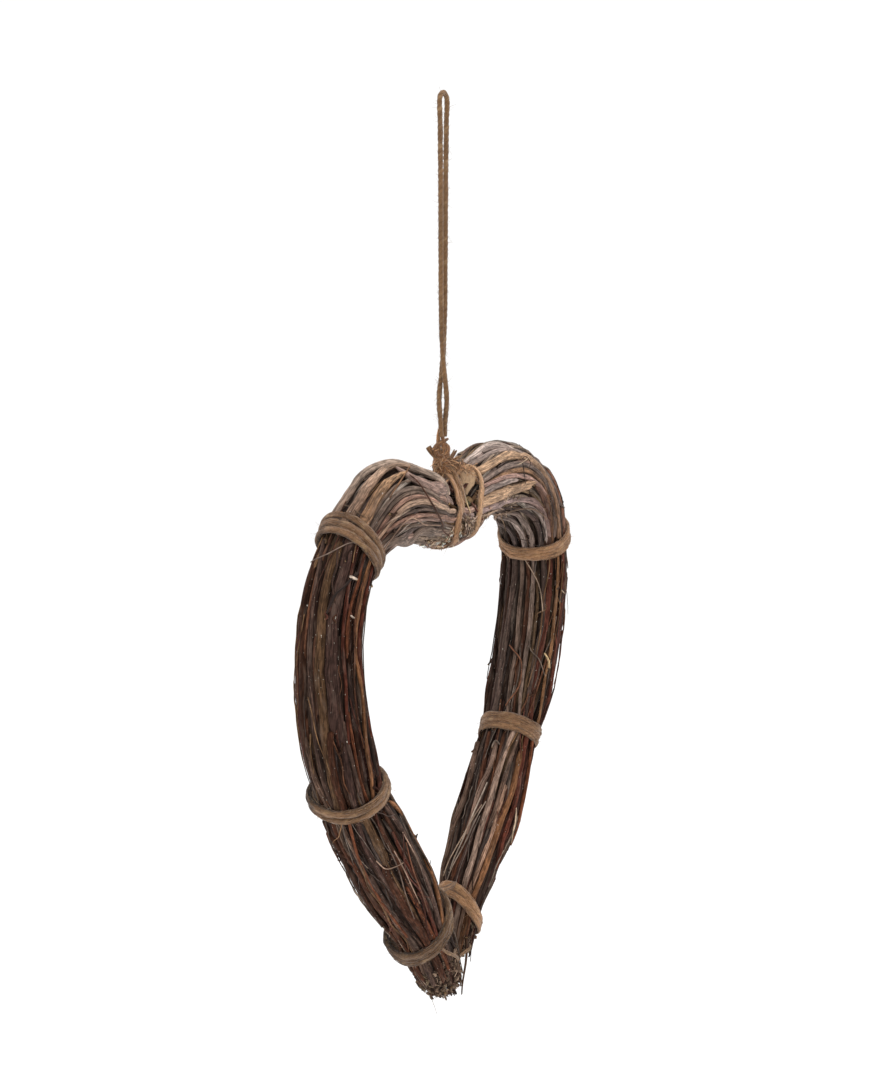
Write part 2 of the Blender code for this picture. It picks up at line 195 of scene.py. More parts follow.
# Bark of the inner layers: the darkest barks, made darker still as painted shade deep in the bundle
DEEP_BARK = [BARK[name] * 0.8 for name in ("dark", "umber", "dark", "purple")]
FINE_BARK = [BARK[name] * (0.57, 0.55, 0.55) for name in ("red", "brown", "rust", "slate", "dust", "umber", "tan")]
CUT_WOOD = rgb(150, 122, 90)
JUTE = [rgb(152, 115, 84), rgb(142, 107, 78), rgb(162, 126, 94), rgb(132, 99, 72)]
STRING = rgb(120, 90, 62)
DEBRIS = [rgb(158, 132, 114), rgb(130, 107, 92), rgb(180, 154, 136), rgb(102, 80, 67), rgb(188, 165, 147),
          rgb(136, 118, 98)]
END_CRUMBS = [rgb(106, 87, 73), rgb(85, 67, 57), rgb(134, 113, 97), rgb(72, 55, 47), rgb(112, 97, 79)]
THREAD_BARK = [BARK[name] * 0.7 for name in ('rust', 'red', 'dust', 'grey', 'beige', 'tan', 'dark', 'slate')]

# A twig placed by the photograph: its bark, its width in mm from one end to the other, the pixels
# along its middle, how its ends look, how far it goes on past the first and the last pixel, how
# far it stands out of the bundle, and its thickness by its width
Twig = namedtuple("Twig", "bark widths marks ends reach lift flat",
                  defaults=(("round", "torn"), (0.006, 0.008), 0.0, 0.92))
# The twigs that show on the left lobe, from the binding over to the notch
LEFT_LOBE = [
    Twig("light_grey", (5.5, 5.5, 6, 6.5, 5, 4), [(333, 518), (343, 502), (354, 486), (367, 471), (386, 463),
         (402, 465), (418, 470), (434, 476), (446, 485)], ("round", "round"), lift=0.0022),
    Twig("beige", (6.5, 6.5, 6.5, 5, 2.5), [(346, 521), (352, 511), (358, 502), (366, 488), (376, 476),
         (387, 468), (399, 466), (409, 468)], ("round", "taper"), (0.006, 0.0), 0.0020),
    Twig("ochre", (6, 7, 7.5, 7, 5, 2.2), [(364, 523), (369, 512), (376, 499), (384, 487), (393, 478),
         (403, 473)], ("round", "taper"), (0.006, 0.0), 0.0014),
    Twig("mauve", (4, 7.5, 9.5, 10.5, 11, 9.5), [(403, 471), (413, 477), (424, 482), (435, 487), (444, 493),
         (450, 499)], ("taper", "round"), (0.0, 0.0), 0.0010, 0.8),
    Twig("dust", (2.2, 2.4, 2), [(369, 525), (379, 507), (389, 493), (399, 484), (409, 480)],
         ("round", "taper"), (0.005, 0.0)),
    Twig("grey", (2.4, 2.8, 2.2), [(372, 528), (382, 511), (393, 497), (405, 489), (418, 487), (428, 490),
         (439, 497)], ("round", "torn"), (0.006, 0.0), 0.0004),
    Twig("dust", (2.6, 2.6, 2.2), [(375, 530), (386, 514), (397, 501), (409, 493), (421, 492), (432, 497),
         (443, 504)]),
    Twig("pink", (2.2, 2.8, 2.2), [(378, 533), (389, 518), (400, 505), (413, 497), (426, 497), (437, 502)]),
    Twig("beige", (2.8, 3.6, 4, 3.2), [(381, 535), (392, 522), (404, 509), (417, 502), (429, 502), (441, 506),
         (452, 511)], ("round", "cut"), lift=0.0005),
    Twig("slate", (1.8, 2.2, 1.8), [(399, 514), (411, 507), (424, 506), (438, 509), (452, 513)]),
    Twig("slate", (2.0, 2.2, 2.0), [(396, 520), (410, 513), (425, 510), (440, 512), (455, 516)]),
    Twig("pink", (2.4, 2.8, 2.4), [(394, 526), (408, 519), (424, 515.5), (440, 516), (455, 519)], lift=0.0004),
    Twig("mauve", (2.2, 2.6, 2.2), [(402, 525), (418, 520.5), (436, 520), (455, 522)]),
    Twig("brown", (2.0, 2.2, 1.6), [(384, 538), (395, 527), (408, 518)], lift=0.0003),
    Twig("dust", (2.6, 3.2, 2.6), [(385, 542), (397, 533), (412, 527), (430, 525), (449, 526)]),
    Twig("grey", (6, 9, 9, 7), [(386, 547), (402, 540), (419, 535), (436, 534), (452, 534)],
         ("round", "torn"), (0.004, 0.002), 0.0002, 0.5),
    Twig("grey", (4, 5, 5, 4), [(391, 550), (408, 546), (424, 544), (441, 545), (452, 544)]),
]
# The long twigs that show on the left limb, from the upper binding down
LEFT_LIMB = [
    Twig("umber", (5, 5.5, 5.8, 5.6, 5.4), [(314, 548), (309, 573), (304, 597), (301, 617), (300, 636),
         (301, 664), (301, 690), (302, 731), (307, 762), (315, 787), (320, 802)]),
    Twig("slate", (3.6, 4, 4, 3.4), [(321, 545), (317, 569), (312, 597), (309, 626), (308, 664), (309, 690),
         (313, 731), (319, 772), (330, 804)], lift=-0.0004),
    Twig("olive", (5, 5.8, 6, 5.6, 4.8), [(335, 555), (328, 578), (323, 598), (321, 617), (320, 636),
         (319, 655), (319, 683), (322, 705), (325, 741), (330, 775), (336, 804)], lift=0.0005),
    Twig("purple", (6.5, 7.5, 8.2, 8, 6.5), [(348, 552), (344, 573), (338, 593), (335, 609), (333, 626),
         (332, 645), (332, 674), (334, 700), (334, 722)], ("round", "taper"), (0.008, 0.0), 0.0004),
    Twig("red", (1.8, 2.2, 2.2, 1.8), [(357, 550), (352, 569), (349, 583), (346, 607), (343, 636), (343, 655),
         (346, 684), (347, 705), (348, 730)], lift=0.0006),
    Twig("rust", (1.8, 2.2, 2.0), [(362, 565), (357, 588), (351, 607), (348, 626), (347, 655)],
         ("round", "taper"), (0.008, 0.0), 0.0006),
    Twig("umber", (3.4, 3.8, 3.6), [(364, 556), (359, 580), (354, 607), (351, 635), (352, 665), (355, 695),
         (357, 722), (361, 760), (366, 795)], lift=-0.0006),
    Twig("tan", (1.8, 2.2, 2.6, 2.4), [(369, 563), (365, 578), (361, 597), (358, 617), (356, 636), (356, 655),
         (361, 682), (364, 711), (366, 741), (371, 772), (373, 794)], lift=0.0005),
    Twig("red", (3.2, 3.6, 3.4, 3.0), [(374, 566), (369, 588), (365, 607), (362, 626), (361, 645), (362, 664),
         (366, 689), (370, 716), (375, 746), (379, 764), (381, 780)]),
    Twig("brown", (4.2, 4.8, 4.6), [(331, 735), (330, 752), (332, 768), (336, 786), (342, 806)],
         ("round", "torn"), (0.0, 0.008), 0.0010),
    Twig("purple", (4, 4.6, 5, 5), [(338, 688), (340, 712), (343, 740), (347, 765), (351, 786), (356, 806)]),
    Twig("dust", (2.6, 3.2, 4, 4), [(308, 752), (312, 772), (318, 788), (325, 803)], ("taper", "torn"),
         lift=0.0006),
    Twig("slate", (2.4, 2.8, 2.8), [(346, 735), (350, 752), (356, 775), (362, 800)], lift=0.0004),
    Twig("rust", (1.8, 2.0, 1.8), [(351, 725), (355, 752), (360, 776), (368, 800)], lift=0.0002),
    Twig("dark", (3.0, 3.4, 3.4), [(326, 556), (321, 576), (316, 600), (314, 626), (314, 655), (314, 690),
         (319, 735), (325, 772), (331, 802)], lift=-0.0010),
]
# Those under the left limb's lower binding, down to the tip
LEFT_FOOT = [
    Twig("umber", (4, 4.2, 3.6, 3), [(327, 832), (336, 848), (347, 869), (359, 891), (371, 911), (384, 928),
         (396, 943)]),
    Twig("brown", (4, 4.4, 4.2, 3.6), [(335, 834), (345, 855), (356, 872), (366, 891), (380, 911), (397, 938),
         (408, 955)], lift=0.0003),
    Twig("rust", (1.8, 2.0, 1.6), [(350, 826), (355, 847), (361, 864), (368, 880), (378, 896)], lift=0.0008),
    Twig("olive", (4, 5.2, 5.8, 5), [(366, 818), (371, 830), (376, 841), (382, 854), (386, 864)],
         ("round", "round"), (0.006, 0.0), 0.0006),
    Twig("brown", (3, 3.6, 3.4, 3), [(376, 816), (384, 834), (391, 848), (398, 860), (405, 875), (414, 895)],
         lift=0.0003),
    Twig("brown", (4, 6, 6.4, 5.6, 4.6), [(385, 868), (391, 883), (398, 897), (408, 913), (420, 931),
         (430, 947)], ("round", "torn"), (0.0, 0.006), 0.0008),
    Twig("slate", (4, 5, 4.8, 4), [(372, 884), (380, 897), (390, 914), (402, 930), (413, 944), (420, 955)],
         lift=0.0004),
    Twig("tan", (3, 3.4, 3.4, 3), [(397, 806), (405, 817), (413, 831), (422, 848), (430, 866), (436, 882)],
         ("taper", "torn")),
    Twig("slate", (4, 4.8, 4.6, 4), [(392, 812), (402, 827), (411, 843), (420, 862), (427, 878), (433, 896),
         (438, 913)], lift=-0.0002),
    Twig("purple", (4, 4.6, 4), [(358, 824), (363, 842), (371, 858), (380, 874), (390, 890)], lift=-0.0006),
    Twig("dust", (2.6, 3.0, 2.6), [(343, 830), (351, 848), (361, 868), (372, 888), (386, 910), (402, 934)],
         lift=0.0002),
    Twig("red", (2.2, 2.6, 2.2), [(396, 840), (404, 856), (413, 874), (421, 892), (428, 910)], lift=0.0002),
    Twig("umber", (3.2, 3.6, 3.2), [(390, 820), (399, 838), (409, 858), (418, 878), (426, 898), (434, 920)],
         lift=-0.0006),
    Twig("rust", (2.6, 2.8, 2.2), [(411, 893), (419, 908), (426, 921), (433, 934)], lift=0.0006),
]
# The twigs that show on the right lobe, from the notch over to the upper binding
RIGHT_LOBE = [
    Twig("light_grey", (4, 5, 5.5, 5.5, 5, 4), [(465, 460), (476, 452), (486, 445), (496, 442.5), (505, 444),
         (513, 448)], ("round", "taper"), (0.006, 0.0)),
    Twig("grey", (4, 4.4, 4.4, 4), [(470, 464), (481, 457.5), (491, 451.5), (501, 448.5), (511, 448.5),
         (521, 451), (530, 457), (540, 466), (550, 478), (558, 494)]),
    Twig("ochre", (5, 6.4, 6.8, 6.8, 6, 5, 4.6, 4.4), [(474, 472), (484, 467), (494, 461), (504, 456),
         (515, 453.5), (525, 455), (533, 460), (541, 468), (549, 480), (555, 496), (559, 514), (560, 530)],
         lift=0.0006),
    Twig("dust", (3, 3.6, 3.2, 3.4, 3.8, 4), [(488, 477), (498, 471.5), (508, 466.5), (518, 463.5),
         (528, 464), (537, 469), (545, 479), (551, 493), (555, 509), (556, 528)]),
    Twig("tan", (3, 3.6, 3.4, 3.8, 4.2), [(497, 479), (508, 473), (520, 470), (531, 471), (540, 478),
         (547, 490), (551, 505), (553, 520), (553, 536)], lift=-0.0004),
    Twig("pink", (2.4, 3.2, 3.2, 2.6), [(490, 483), (500, 479), (512, 476), (524, 476), (534, 480), (543, 489)],
         lift=0.0003),
    Twig("grey", (3.6, 4.4, 4.2, 3), [(484, 493), (494, 487.5), (505, 483), (517, 480.5)], ("round", "taper"),
         (0.006, 0.0), 0.0003),
    Twig("ochre", (7, 8.4, 8.8, 8.2, 6.5), [(481, 503), (494, 498), (508, 493), (521, 489), (531, 485)],
         ("cut", "torn"), (0.004, 0.0), 0.0010, 0.8),
    Twig("mauve", (5, 5.6, 5, 4.6, 4.4), [(484, 511), (496, 507), (508, 503), (520, 501), (531, 502),
         (540, 507), (546, 517), (549, 531)]),
    Twig("dust", (3.4, 4.2, 4.2, 4), [(503, 513), (512, 514), (520, 519), (527, 528), (531, 538), (532, 547)],
         lift=0.0006),
    Twig("grey", (3.6, 4.6, 4.6, 4), [(497, 517), (507, 520), (515, 526), (521, 535), (524, 547)],
         lift=0.0004),
    Twig("slate", (3.4, 4, 4, 3.6), [(512, 509), (523, 511), (532, 517), (538, 526), (541, 540)], lift=0.0002),
    Twig("slate", (3.4, 4, 3.6), [(496, 524), (504, 528), (510, 535), (514, 546)]),
    Twig("grey", (3.0, 3.4, 3.0), [(531, 508), (538, 512), (543, 520), (546, 534)], lift=0.0004),
    Twig("brown", (5, 6.2, 6.2), [(542, 491), (547, 501), (550, 514), (550, 528), (549, 543)], lift=-0.0004),
    Twig("grey", (3.4, 3.8, 3.4), [(486, 449), (496, 446), (506, 447), (515, 450), (524, 453), (532, 459)],
         ("taper", "taper"), (0.0, 0.0), 0.0004),
    Twig("rust", (3, 3.6, 3.6), [(552, 474), (557, 484), (561, 497), (564, 512), (565, 528)]),
]
# The long twigs that show on the right limb, from the upper binding down
RIGHT_LIMB = [
    Twig("dark", (3.6, 4, 4, 3.6), [(503, 553), (502, 575), (499, 605), (495, 635), (492, 665), (489, 695),
         (485, 716)]),
    Twig("slate", (5, 5.4, 5.4, 5, 4.4), [(514, 556), (513, 582), (510, 600), (507, 618), (504, 642),
         (500, 668), (496, 695), (492, 715)], lift=0.0003),
    Twig("dust", (2.6, 3, 3.2, 2.6), [(522, 562), (521, 585), (519, 605), (517, 628), (515, 652), (511, 680),
         (507, 712)], lift=0.0002),
    Twig("brown", (3.2, 3.6, 3.4), [(528, 564), (528, 585), (527, 605), (524, 628), (520, 655), (515, 690),
         (512, 715)], lift=-0.0006),
    Twig("grey", (2.8, 3.2, 3.4, 3, 2), [(533, 560), (533, 585), (531, 606), (529, 631), (526, 650),
         (524, 668), (521, 690), (519, 713)], lift=0.0006),
    Twig("slate", (3, 3.4, 3.4, 3), [(543, 556), (544, 580), (544, 605), (542, 628), (538, 645), (534, 668),
         (530, 690), (527, 712)]),
    Twig("red", (4.6, 5.4, 5.6, 5), [(551, 560), (550, 590), (548, 612), (546, 632), (542, 652), (538, 674),
         (534, 696), (532, 714)], lift=-0.0002),
    Twig("tan", (1.8, 2.4, 2.6, 2.4, 2), [(558, 562), (557, 586), (555, 611), (552, 637), (550, 657),
         (546, 673), (542, 698), (539, 715)], lift=0.0008),
    Twig("red", (3.8, 4.2, 4.0, 3.6), [(564, 552), (564, 580), (562, 605), (559, 630), (556, 654), (553, 678),
         (550, 700), (545, 722)]),
    Twig("purple", (2.4, 2.8, 2.6), [(508, 556), (507, 580), (504, 605), (501, 630), (498, 655), (494, 680),
         (490, 708)], lift=-0.0006),
    Twig("olive", (2.6, 2.8, 2.6), [(537, 580), (538, 604), (535, 630), (532, 652), (528, 676), (524, 700)],
         lift=-0.0008),
]
# Those under the right limb's lower binding, down to the tip
RIGHT_FOOT = [
    Twig("dust", (4, 4.4, 4.2, 3.6), [(477, 743), (472, 763), (467, 787), (458, 811), (450, 836), (444, 862),
         (440, 884)], ("round", "torn"), (0.0, 0.006), 0.0010),
    Twig("brown", (3.6, 4, 3.8, 3.2), [(487, 740), (481, 775), (474, 805), (465, 835), (457, 860), (449, 884)]),
    Twig("grey", (3.2, 3.6, 3.2, 2.6), [(496, 742), (490, 765), (480, 787), (474, 808), (468, 830)],
         ("round", "taper"), (0.0, 0.0), 0.0008),
    Twig("light_grey", (3.6, 4, 4.2, 3.8, 3), [(511, 738), (503, 759), (495, 781), (489, 805), (481, 829),
         (474, 855), (466, 880)], lift=0.0006),
    Twig("dust", (3, 3.4, 3.2), [(517, 742), (508, 769), (501, 792), (494, 815)], ("round", "taper"),
         lift=0.0002),
    Twig("tan", (4, 4.8, 5, 4.6), [(519, 765), (514, 787), (509, 803), (501, 823), (493, 847), (484, 873),
         (474, 896)], ("taper", "torn"), lift=0.0005),
    Twig("beige", (3, 3.4, 3.4, 3), [(506, 786), (502, 800), (496, 821), (489, 842), (480, 866), (470, 892)],
         ("round", "torn"), (0.0, 0.006), 0.0002),
    Twig("red", (3.8, 4.2, 3.8), [(526, 745), (521, 775), (517, 800), (510, 824), (503, 847), (497, 870),
         (490, 896)]),
    Twig("rust", (2.6, 3, 2.8), [(531, 750), (528, 775), (523, 800), (518, 823), (511, 846)],
         ("round", "cut"), (0.006, 0.0), 0.0010),
    Twig("umber", (3.2, 3.6, 3.2), [(504, 850), (497, 874), (489, 898), (483, 915)], lift=0.0002),
    Twig("purple", (3.2, 3.6, 3.2), [(491, 752), (484, 780), (478, 806), (471, 832), (461, 862), (452, 890)],
         lift=-0.0006),
]
# Thin loose twigs and splinters that lie on top
LEFT_STRAYS = [
    Twig("brown", (1.0, 1.2, 0.9), [(417, 484), (425, 495), (433, 508), (439, 519), (446, 533)], lift=0.0018),
    Twig("beige", (0.8, 1.0, 0.8), [(385, 546), (398, 529), (408, 519), (421, 523), (435, 524)], lift=0.0014),
    Twig("tan", (0.9, 1.1, 0.8), [(393, 491), (400, 481), (408, 470)], lift=0.0014),
    Twig("olive", (0.6, 0.8, 0.6), [(345, 506.5), (352.5, 510), (359, 515), (366, 520)], reach=(0.0, 0.0),
         lift=0.0014),
    Twig("grey", (0.7, 0.9, 0.7), [(354.7, 543), (348, 545), (342.5, 547), (331.5, 553), (317, 559.5),
         (312.7, 563)], reach=(0.0, 0.0), lift=0.0014),
    Twig("dark", (1.4, 1.8, 1.4), [(350, 580), (342, 588), (336, 594), (333, 599)], lift=0.0012),
    Twig("umber", (1.2, 1.3, 1.2), [(337, 556), (336, 569), (333, 579), (333, 592)], lift=0.0008),
    Twig("beige", (0.7, 0.8, 0.6), [(396, 856), (403, 869), (410, 883), (416, 897)], lift=0.0012),
    Twig("beige", (0.7, 0.8, 0.6), [(381, 864), (386, 867), (392, 866)], lift=0.0016),
    Twig("dust", (0.8, 0.9, 0.7), [(390, 850), (399, 872), (404, 890), (412, 912)], lift=0.0010),
    Twig("rust", (1.0, 1.1, 0.9), [(407, 850), (412, 868), (418, 884), (425, 905)], lift=0.0010),
    Twig("red", (0.9, 1.0, 0.9), [(402, 842), (402, 856), (406, 872), (415, 886)], lift=0.0012),
    Twig("beige", (0.8, 0.8, 0.6), [(405, 838), (411, 850), (417, 862)], lift=0.0014),
    Twig("chip", (1.5, 2.2, 1.5), [(350, 576.5), (352.5, 578), (355, 579.5)], reach=(0.0, 0.0), lift=0.0018),
    Twig("chip", (1.0, 1.2, 0.8), [(350, 616), (351.5, 618)], reach=(0.0, 0.0), lift=0.0016),
]
RIGHT_STRAYS = [
    Twig("beige", (1.0, 1.2, 1.2, 1.0), [(483, 515), (497, 513), (513, 508.5), (527, 507), (536, 509),
         (542, 514)], lift=0.0018),
    Twig("dark", (0.7, 0.8, 0.6), [(521, 464), (523, 475), (524, 483)], reach=(0.0, 0.0), lift=0.0016),
    Twig("pale", (0.5, 0.7, 0.5), [(515, 466), (521, 463), (527, 458)], reach=(0.0, 0.0), lift=0.0022),
    Twig("dark", (0.6, 0.7, 0.5), [(519, 461), (525, 459), (528, 463), (526, 468)], reach=(0.0, 0.0),
         lift=0.0022),
    Twig("beige", (0.8, 0.9, 0.7), [(528, 563), (535, 576), (540, 589), (542, 602)], lift=0.0014),
    Twig("dust", (0.9, 1.0, 0.8), [(530, 640), (531, 652), (537, 658), (541, 666)], lift=0.0012),
    Twig("rust", (1.2, 1.3, 1.2, 1.0), [(515, 652), (520, 659), (521, 672), (519, 685), (511, 698)],
         lift=0.0014),
    Twig("straw", (1.2, 1.8, 1.8), [(544, 654), (547, 660), (548, 668)], reach=(0.0, 0.0), lift=0.0012),
    Twig("grey", (0.8, 1.0, 0.8), [(482, 808), (472, 828), (464, 846), (452, 870)], lift=0.0014),
    Twig("beige", (0.8, 0.9, 0.7), [(478, 812), (466, 832), (456, 850), (448, 866)], lift=0.0012),
    Twig("light_grey", (1.0, 1.2, 0.9), [(484, 790), (474, 812), (462, 842), (455, 858)], lift=0.0010),
    Twig("grey", (1.0, 1.2, 1.0), [(500, 745), (496, 741), (493, 747)], reach=(0.0, 0.0), lift=0.0016),
    Twig("pale", (0.8, 1.4, 1.0), [(516, 808), (515, 820), (512, 834), (510, 843)], reach=(0.0, 0.0),
         lift=0.0012),
    Twig("pale", (0.9, 1.0, 0.7), [(561, 590), (563, 593)], reach=(0.0, 0.0), lift=0.0014),
]
# What is caught in the notch: a leaf, fibres and bits of twig
NOTCH_BITS = [
    Twig("umber", (2, 3.4, 4, 3), [(459.5, 486), (462, 491), (463, 498), (463, 505)], ("taper", "torn"),
         (0.0, 0.0), 0.0014, 0.3),
    Twig("straw", (1.2, 1.6, 1.2), [(464, 498), (466, 505), (468, 512)], ("taper", "taper"),
         (0.0, 0.0), 0.0018, 0.5),
    Twig("mauve", (4, 5, 4.5), [(455, 518), (463, 516), (472, 516)], reach=(0.0, 0.0), lift=0.0006),
    Twig("pink", (4, 5, 4), [(461, 511), (467, 510.5), (473, 509)], reach=(0.0, 0.0), lift=0.0012),
    Twig("red", (1.2, 1.4, 1.0), [(470, 504), (474, 510), (480, 519)], reach=(0.0, 0.0), lift=0.0024),
    Twig("slate", (3, 3.6, 3), [(456, 525), (466, 521), (478, 519)], reach=(0.0, 0.0)),
    Twig("dust", (3, 4, 3.4), [(452, 494), (459, 492), (466, 489)], reach=(0.004, 0.0), lift=-0.0010),
]
WEDGE = Twig("ochre", (10.5, 11, 9.5, 6, 2.8), [(468, 468.5), (468, 475), (467, 481.5), (465.5, 488), (464.5, 495)],
             ("cut", "taper"), (0.0, 0.0), 0.0036, 0.36)
CUT_END = (468.5, 501.0, 0.0026)
DEBRIS_LINES = [[(456, 521), (462, 527), (470, 531)], [(495, 517), (476, 528), (467, 536)],
                [(459, 530), (466, 526), (474, 524)], [(458, 520), (466, 522), (475, 521)]]
LEFT_DEBRIS_LINES = [[(424, 545), (436, 546), (448, 545), (457, 538)],
                     [(430, 541), (441, 543), (453, 540)], [(447, 536), (453, 533), (457, 528)]]
# The lashings at the notch, in runs: the bundle, the height in mm, and the marks on it
LEFT_LASHING = [
    ("free", 0.0, [(442, 469, 3), (446, 473, 6), (449.5, 477, 7.5), (452.5, 482, 8.5), (455.5, 489, 9.5),
                   (457.5, 498, 10.5)]),
    ("left", 1.8, [(458, 509), (456.5, 519), (454.5, 529)]),
    ("left", -0.6, [(0.006, 150), (0.006, 180), (0.006, 215), (0.007, 268), (0.008, 310)]),
    ("free", 0.0, [(442, 466, -3)]),
]
RIGHT_LASHING = [
    ("right", 1.2, [(0.0235, 270), (0.0235, 315), (0.0235, 350)]),
    ("right", 1.8, [(470, 468.5), (476, 473), (479.5, 481), (480, 490), (479, 500), (478, 510)]),
    ("right", 1.4, [(476.5, 519)]),
    ("right", -0.4, [(0.0165, 142), (0.0165, 165), (0.0165, 215), (0.0200, 268)]),
]
# Matted strands from the knot over to the right lashing: pixels with mm towards the camera, then
# pixels on the right bundle, and the width in mm
MATTED = [
    ([(445, 460, 4), (452, 461, 4)], [(460, 465), (467, 468), (474, 473), (479, 483)], 3.6),
    ([(443, 465, 6), (450, 465, 5)], [(458, 469), (466, 472), (474, 479)], 3.8),
    ([(442, 469, 7), (449, 469, 6)], [(457, 473), (465, 476)], 3.6),
    ([(443, 474, 7), (450, 474, 6)], [(456, 476), (461, 479)], 3.2),
    ([(448, 464, 5), (451, 458, 4), (453, 453, 3)], [], 2.2),
    ([(450, 463, 5), (455, 459, 4), (459, 457, 3)], [], 2.0),
    ([(451, 473, 5), (455, 480, 6), (458.5, 488, 7), (461, 497, 8), (462.5, 506, 8)], [], 3.4),
    ([(455, 473, 4), (459, 480, 5), (462, 488, 6), (464, 497, 6.5)], [], 3.0),
    ([(453, 470, 6), (457, 478, 7), (459.5, 486, 7.5)], [], 2.4),
]
# Short broken fibres over the knot and the matted strands: pixel, mm towards the camera, how far
# they spread in mm, and how many
FIBRE_HEAPS = [(441, 461, 5.5, 3.6, 60), (444, 470, 7.0, 3.4, 60), (453, 464, 5.0, 3.0, 60),
               (461, 468, 3.0, 2.6, 50), (469, 471, 0.0, 2.2, 30), (439, 449, 2.5, 2.2, 20)]
# The knot's strands: pixel and mm towards the camera along each, and its width in mm
KNOT_STRANDS = [
    ([(438.5, 435, 0.5), (438.5, 446, 0), (440, 456, 0.5), (440.5, 463, 1), (440, 470, 1)], 3.2),
    ([(442.5, 435, -0.5), (443.5, 447, 0.5), (444, 457, 1.5), (446, 465, 1), (447, 472, 1)], 3.2),
    ([(444, 441, 0), (437.5, 446, 3), (436, 452, 3.5), (441, 457, 3.8), (447, 452, 2), (446.5, 446, -2),
      (441, 443.5, -3.5), (436, 447, -2)], 3.0),
    ([(436.5, 452, -2), (435, 457, 1), (438, 461, 4), (445, 460, 4.5), (448.5, 456, 1),
      (446, 453, -3), (439, 452, -3.5)], 3.0),
    ([(434.5, 465, 0), (437, 470, 5), (443, 471.5, 7), (449.5, 468, 4.5), (450.5, 463, 0),
      (446, 460, -5), (438, 460, -5), (434.5, 464, -1)], 3.4),
    ([(435, 470, -1), (438, 474, 4), (444, 475.5, 6), (449.5, 473, 4), (450.5, 468, -1),
      (446, 465, -5), (438, 465, -5), (435, 469, -2)], 3.4),
    ([(435, 462, 1), (439, 464, 6.2), (445, 468, 7.4), (450, 473, 5)], 3.2),
    ([(450, 459, 0), (446, 463, 6.2), (440, 468, 7.4), (436, 473, 3)], 3.0),
    ([(447, 463, 2), (451, 458, 1.5), (454, 454, 1)], 2.4),
]
KNOT_TAIL = [(440, 460, 0), (434.5, 455, 0.5), (430.5, 450.5, 0.5), (428, 447, 0)]

def smooth_curve(points):
    """A natural cubic spline through the points, as a function of the distances along them."""
    points = np.array(points, float)
    at = np.concatenate([[0.0], np.cumsum(np.linalg.norm(np.diff(points, axis=0), axis=1))])
    step = np.diff(at)
    count = len(at)
    system = np.eye(count)
    slopes = np.zeros((count, points.shape[1]))
    for i in range(1, count - 1):
        system[i, i - 1:i + 2] = (step[i - 1], 2 * (step[i - 1] + step[i]), step[i])
        rise = (points[i + 1] - points[i]) / step[i] - (points[i] - points[i - 1]) / step[i - 1]
        slopes[i] = 6 * rise
    bend = np.linalg.solve(system, slopes)

    def place(s):
        s = np.atleast_1d(np.asarray(s, float))
        i = np.clip(np.searchsorted(at, s) - 1, 0, count - 2)
        after = (s - at[i])[:, None]
        before = (at[i + 1] - s)[:, None]
        run = step[i][:, None]
        curve = (bend[i] * before ** 3 + bend[i + 1] * after ** 3) / (6 * run)
        start = (points[i] / run - bend[i] * run / 6) * before
        end = (points[i + 1] / run - bend[i + 1] * run / 6) * after
        return curve + start + end

    return place, at


def unit(vectors):
    return vectors / np.maximum(np.linalg.norm(vectors, axis=-1, keepdims=True), 1e-12)


def ease(low, high, value):
    """0 under low, 1 over high, and a smooth step between them."""
    t = np.clip((value - low) / (high - low), 0.0, 1.0)
    return t * t * (3 - 2 * t)


def wobble(rng, s, wave, strength, waves=3):
    """A smooth random swing along s with about that wave length."""
    total = np.zeros_like(np.asarray(s, float))
    for _ in range(waves):
        pace = 2 * math.pi / wave * rng.uniform(0.6, 1.7)
        total += np.sin(pace * s + rng.uniform(0, 2 * math.pi))
    return strength * total / math.sqrt(waves)

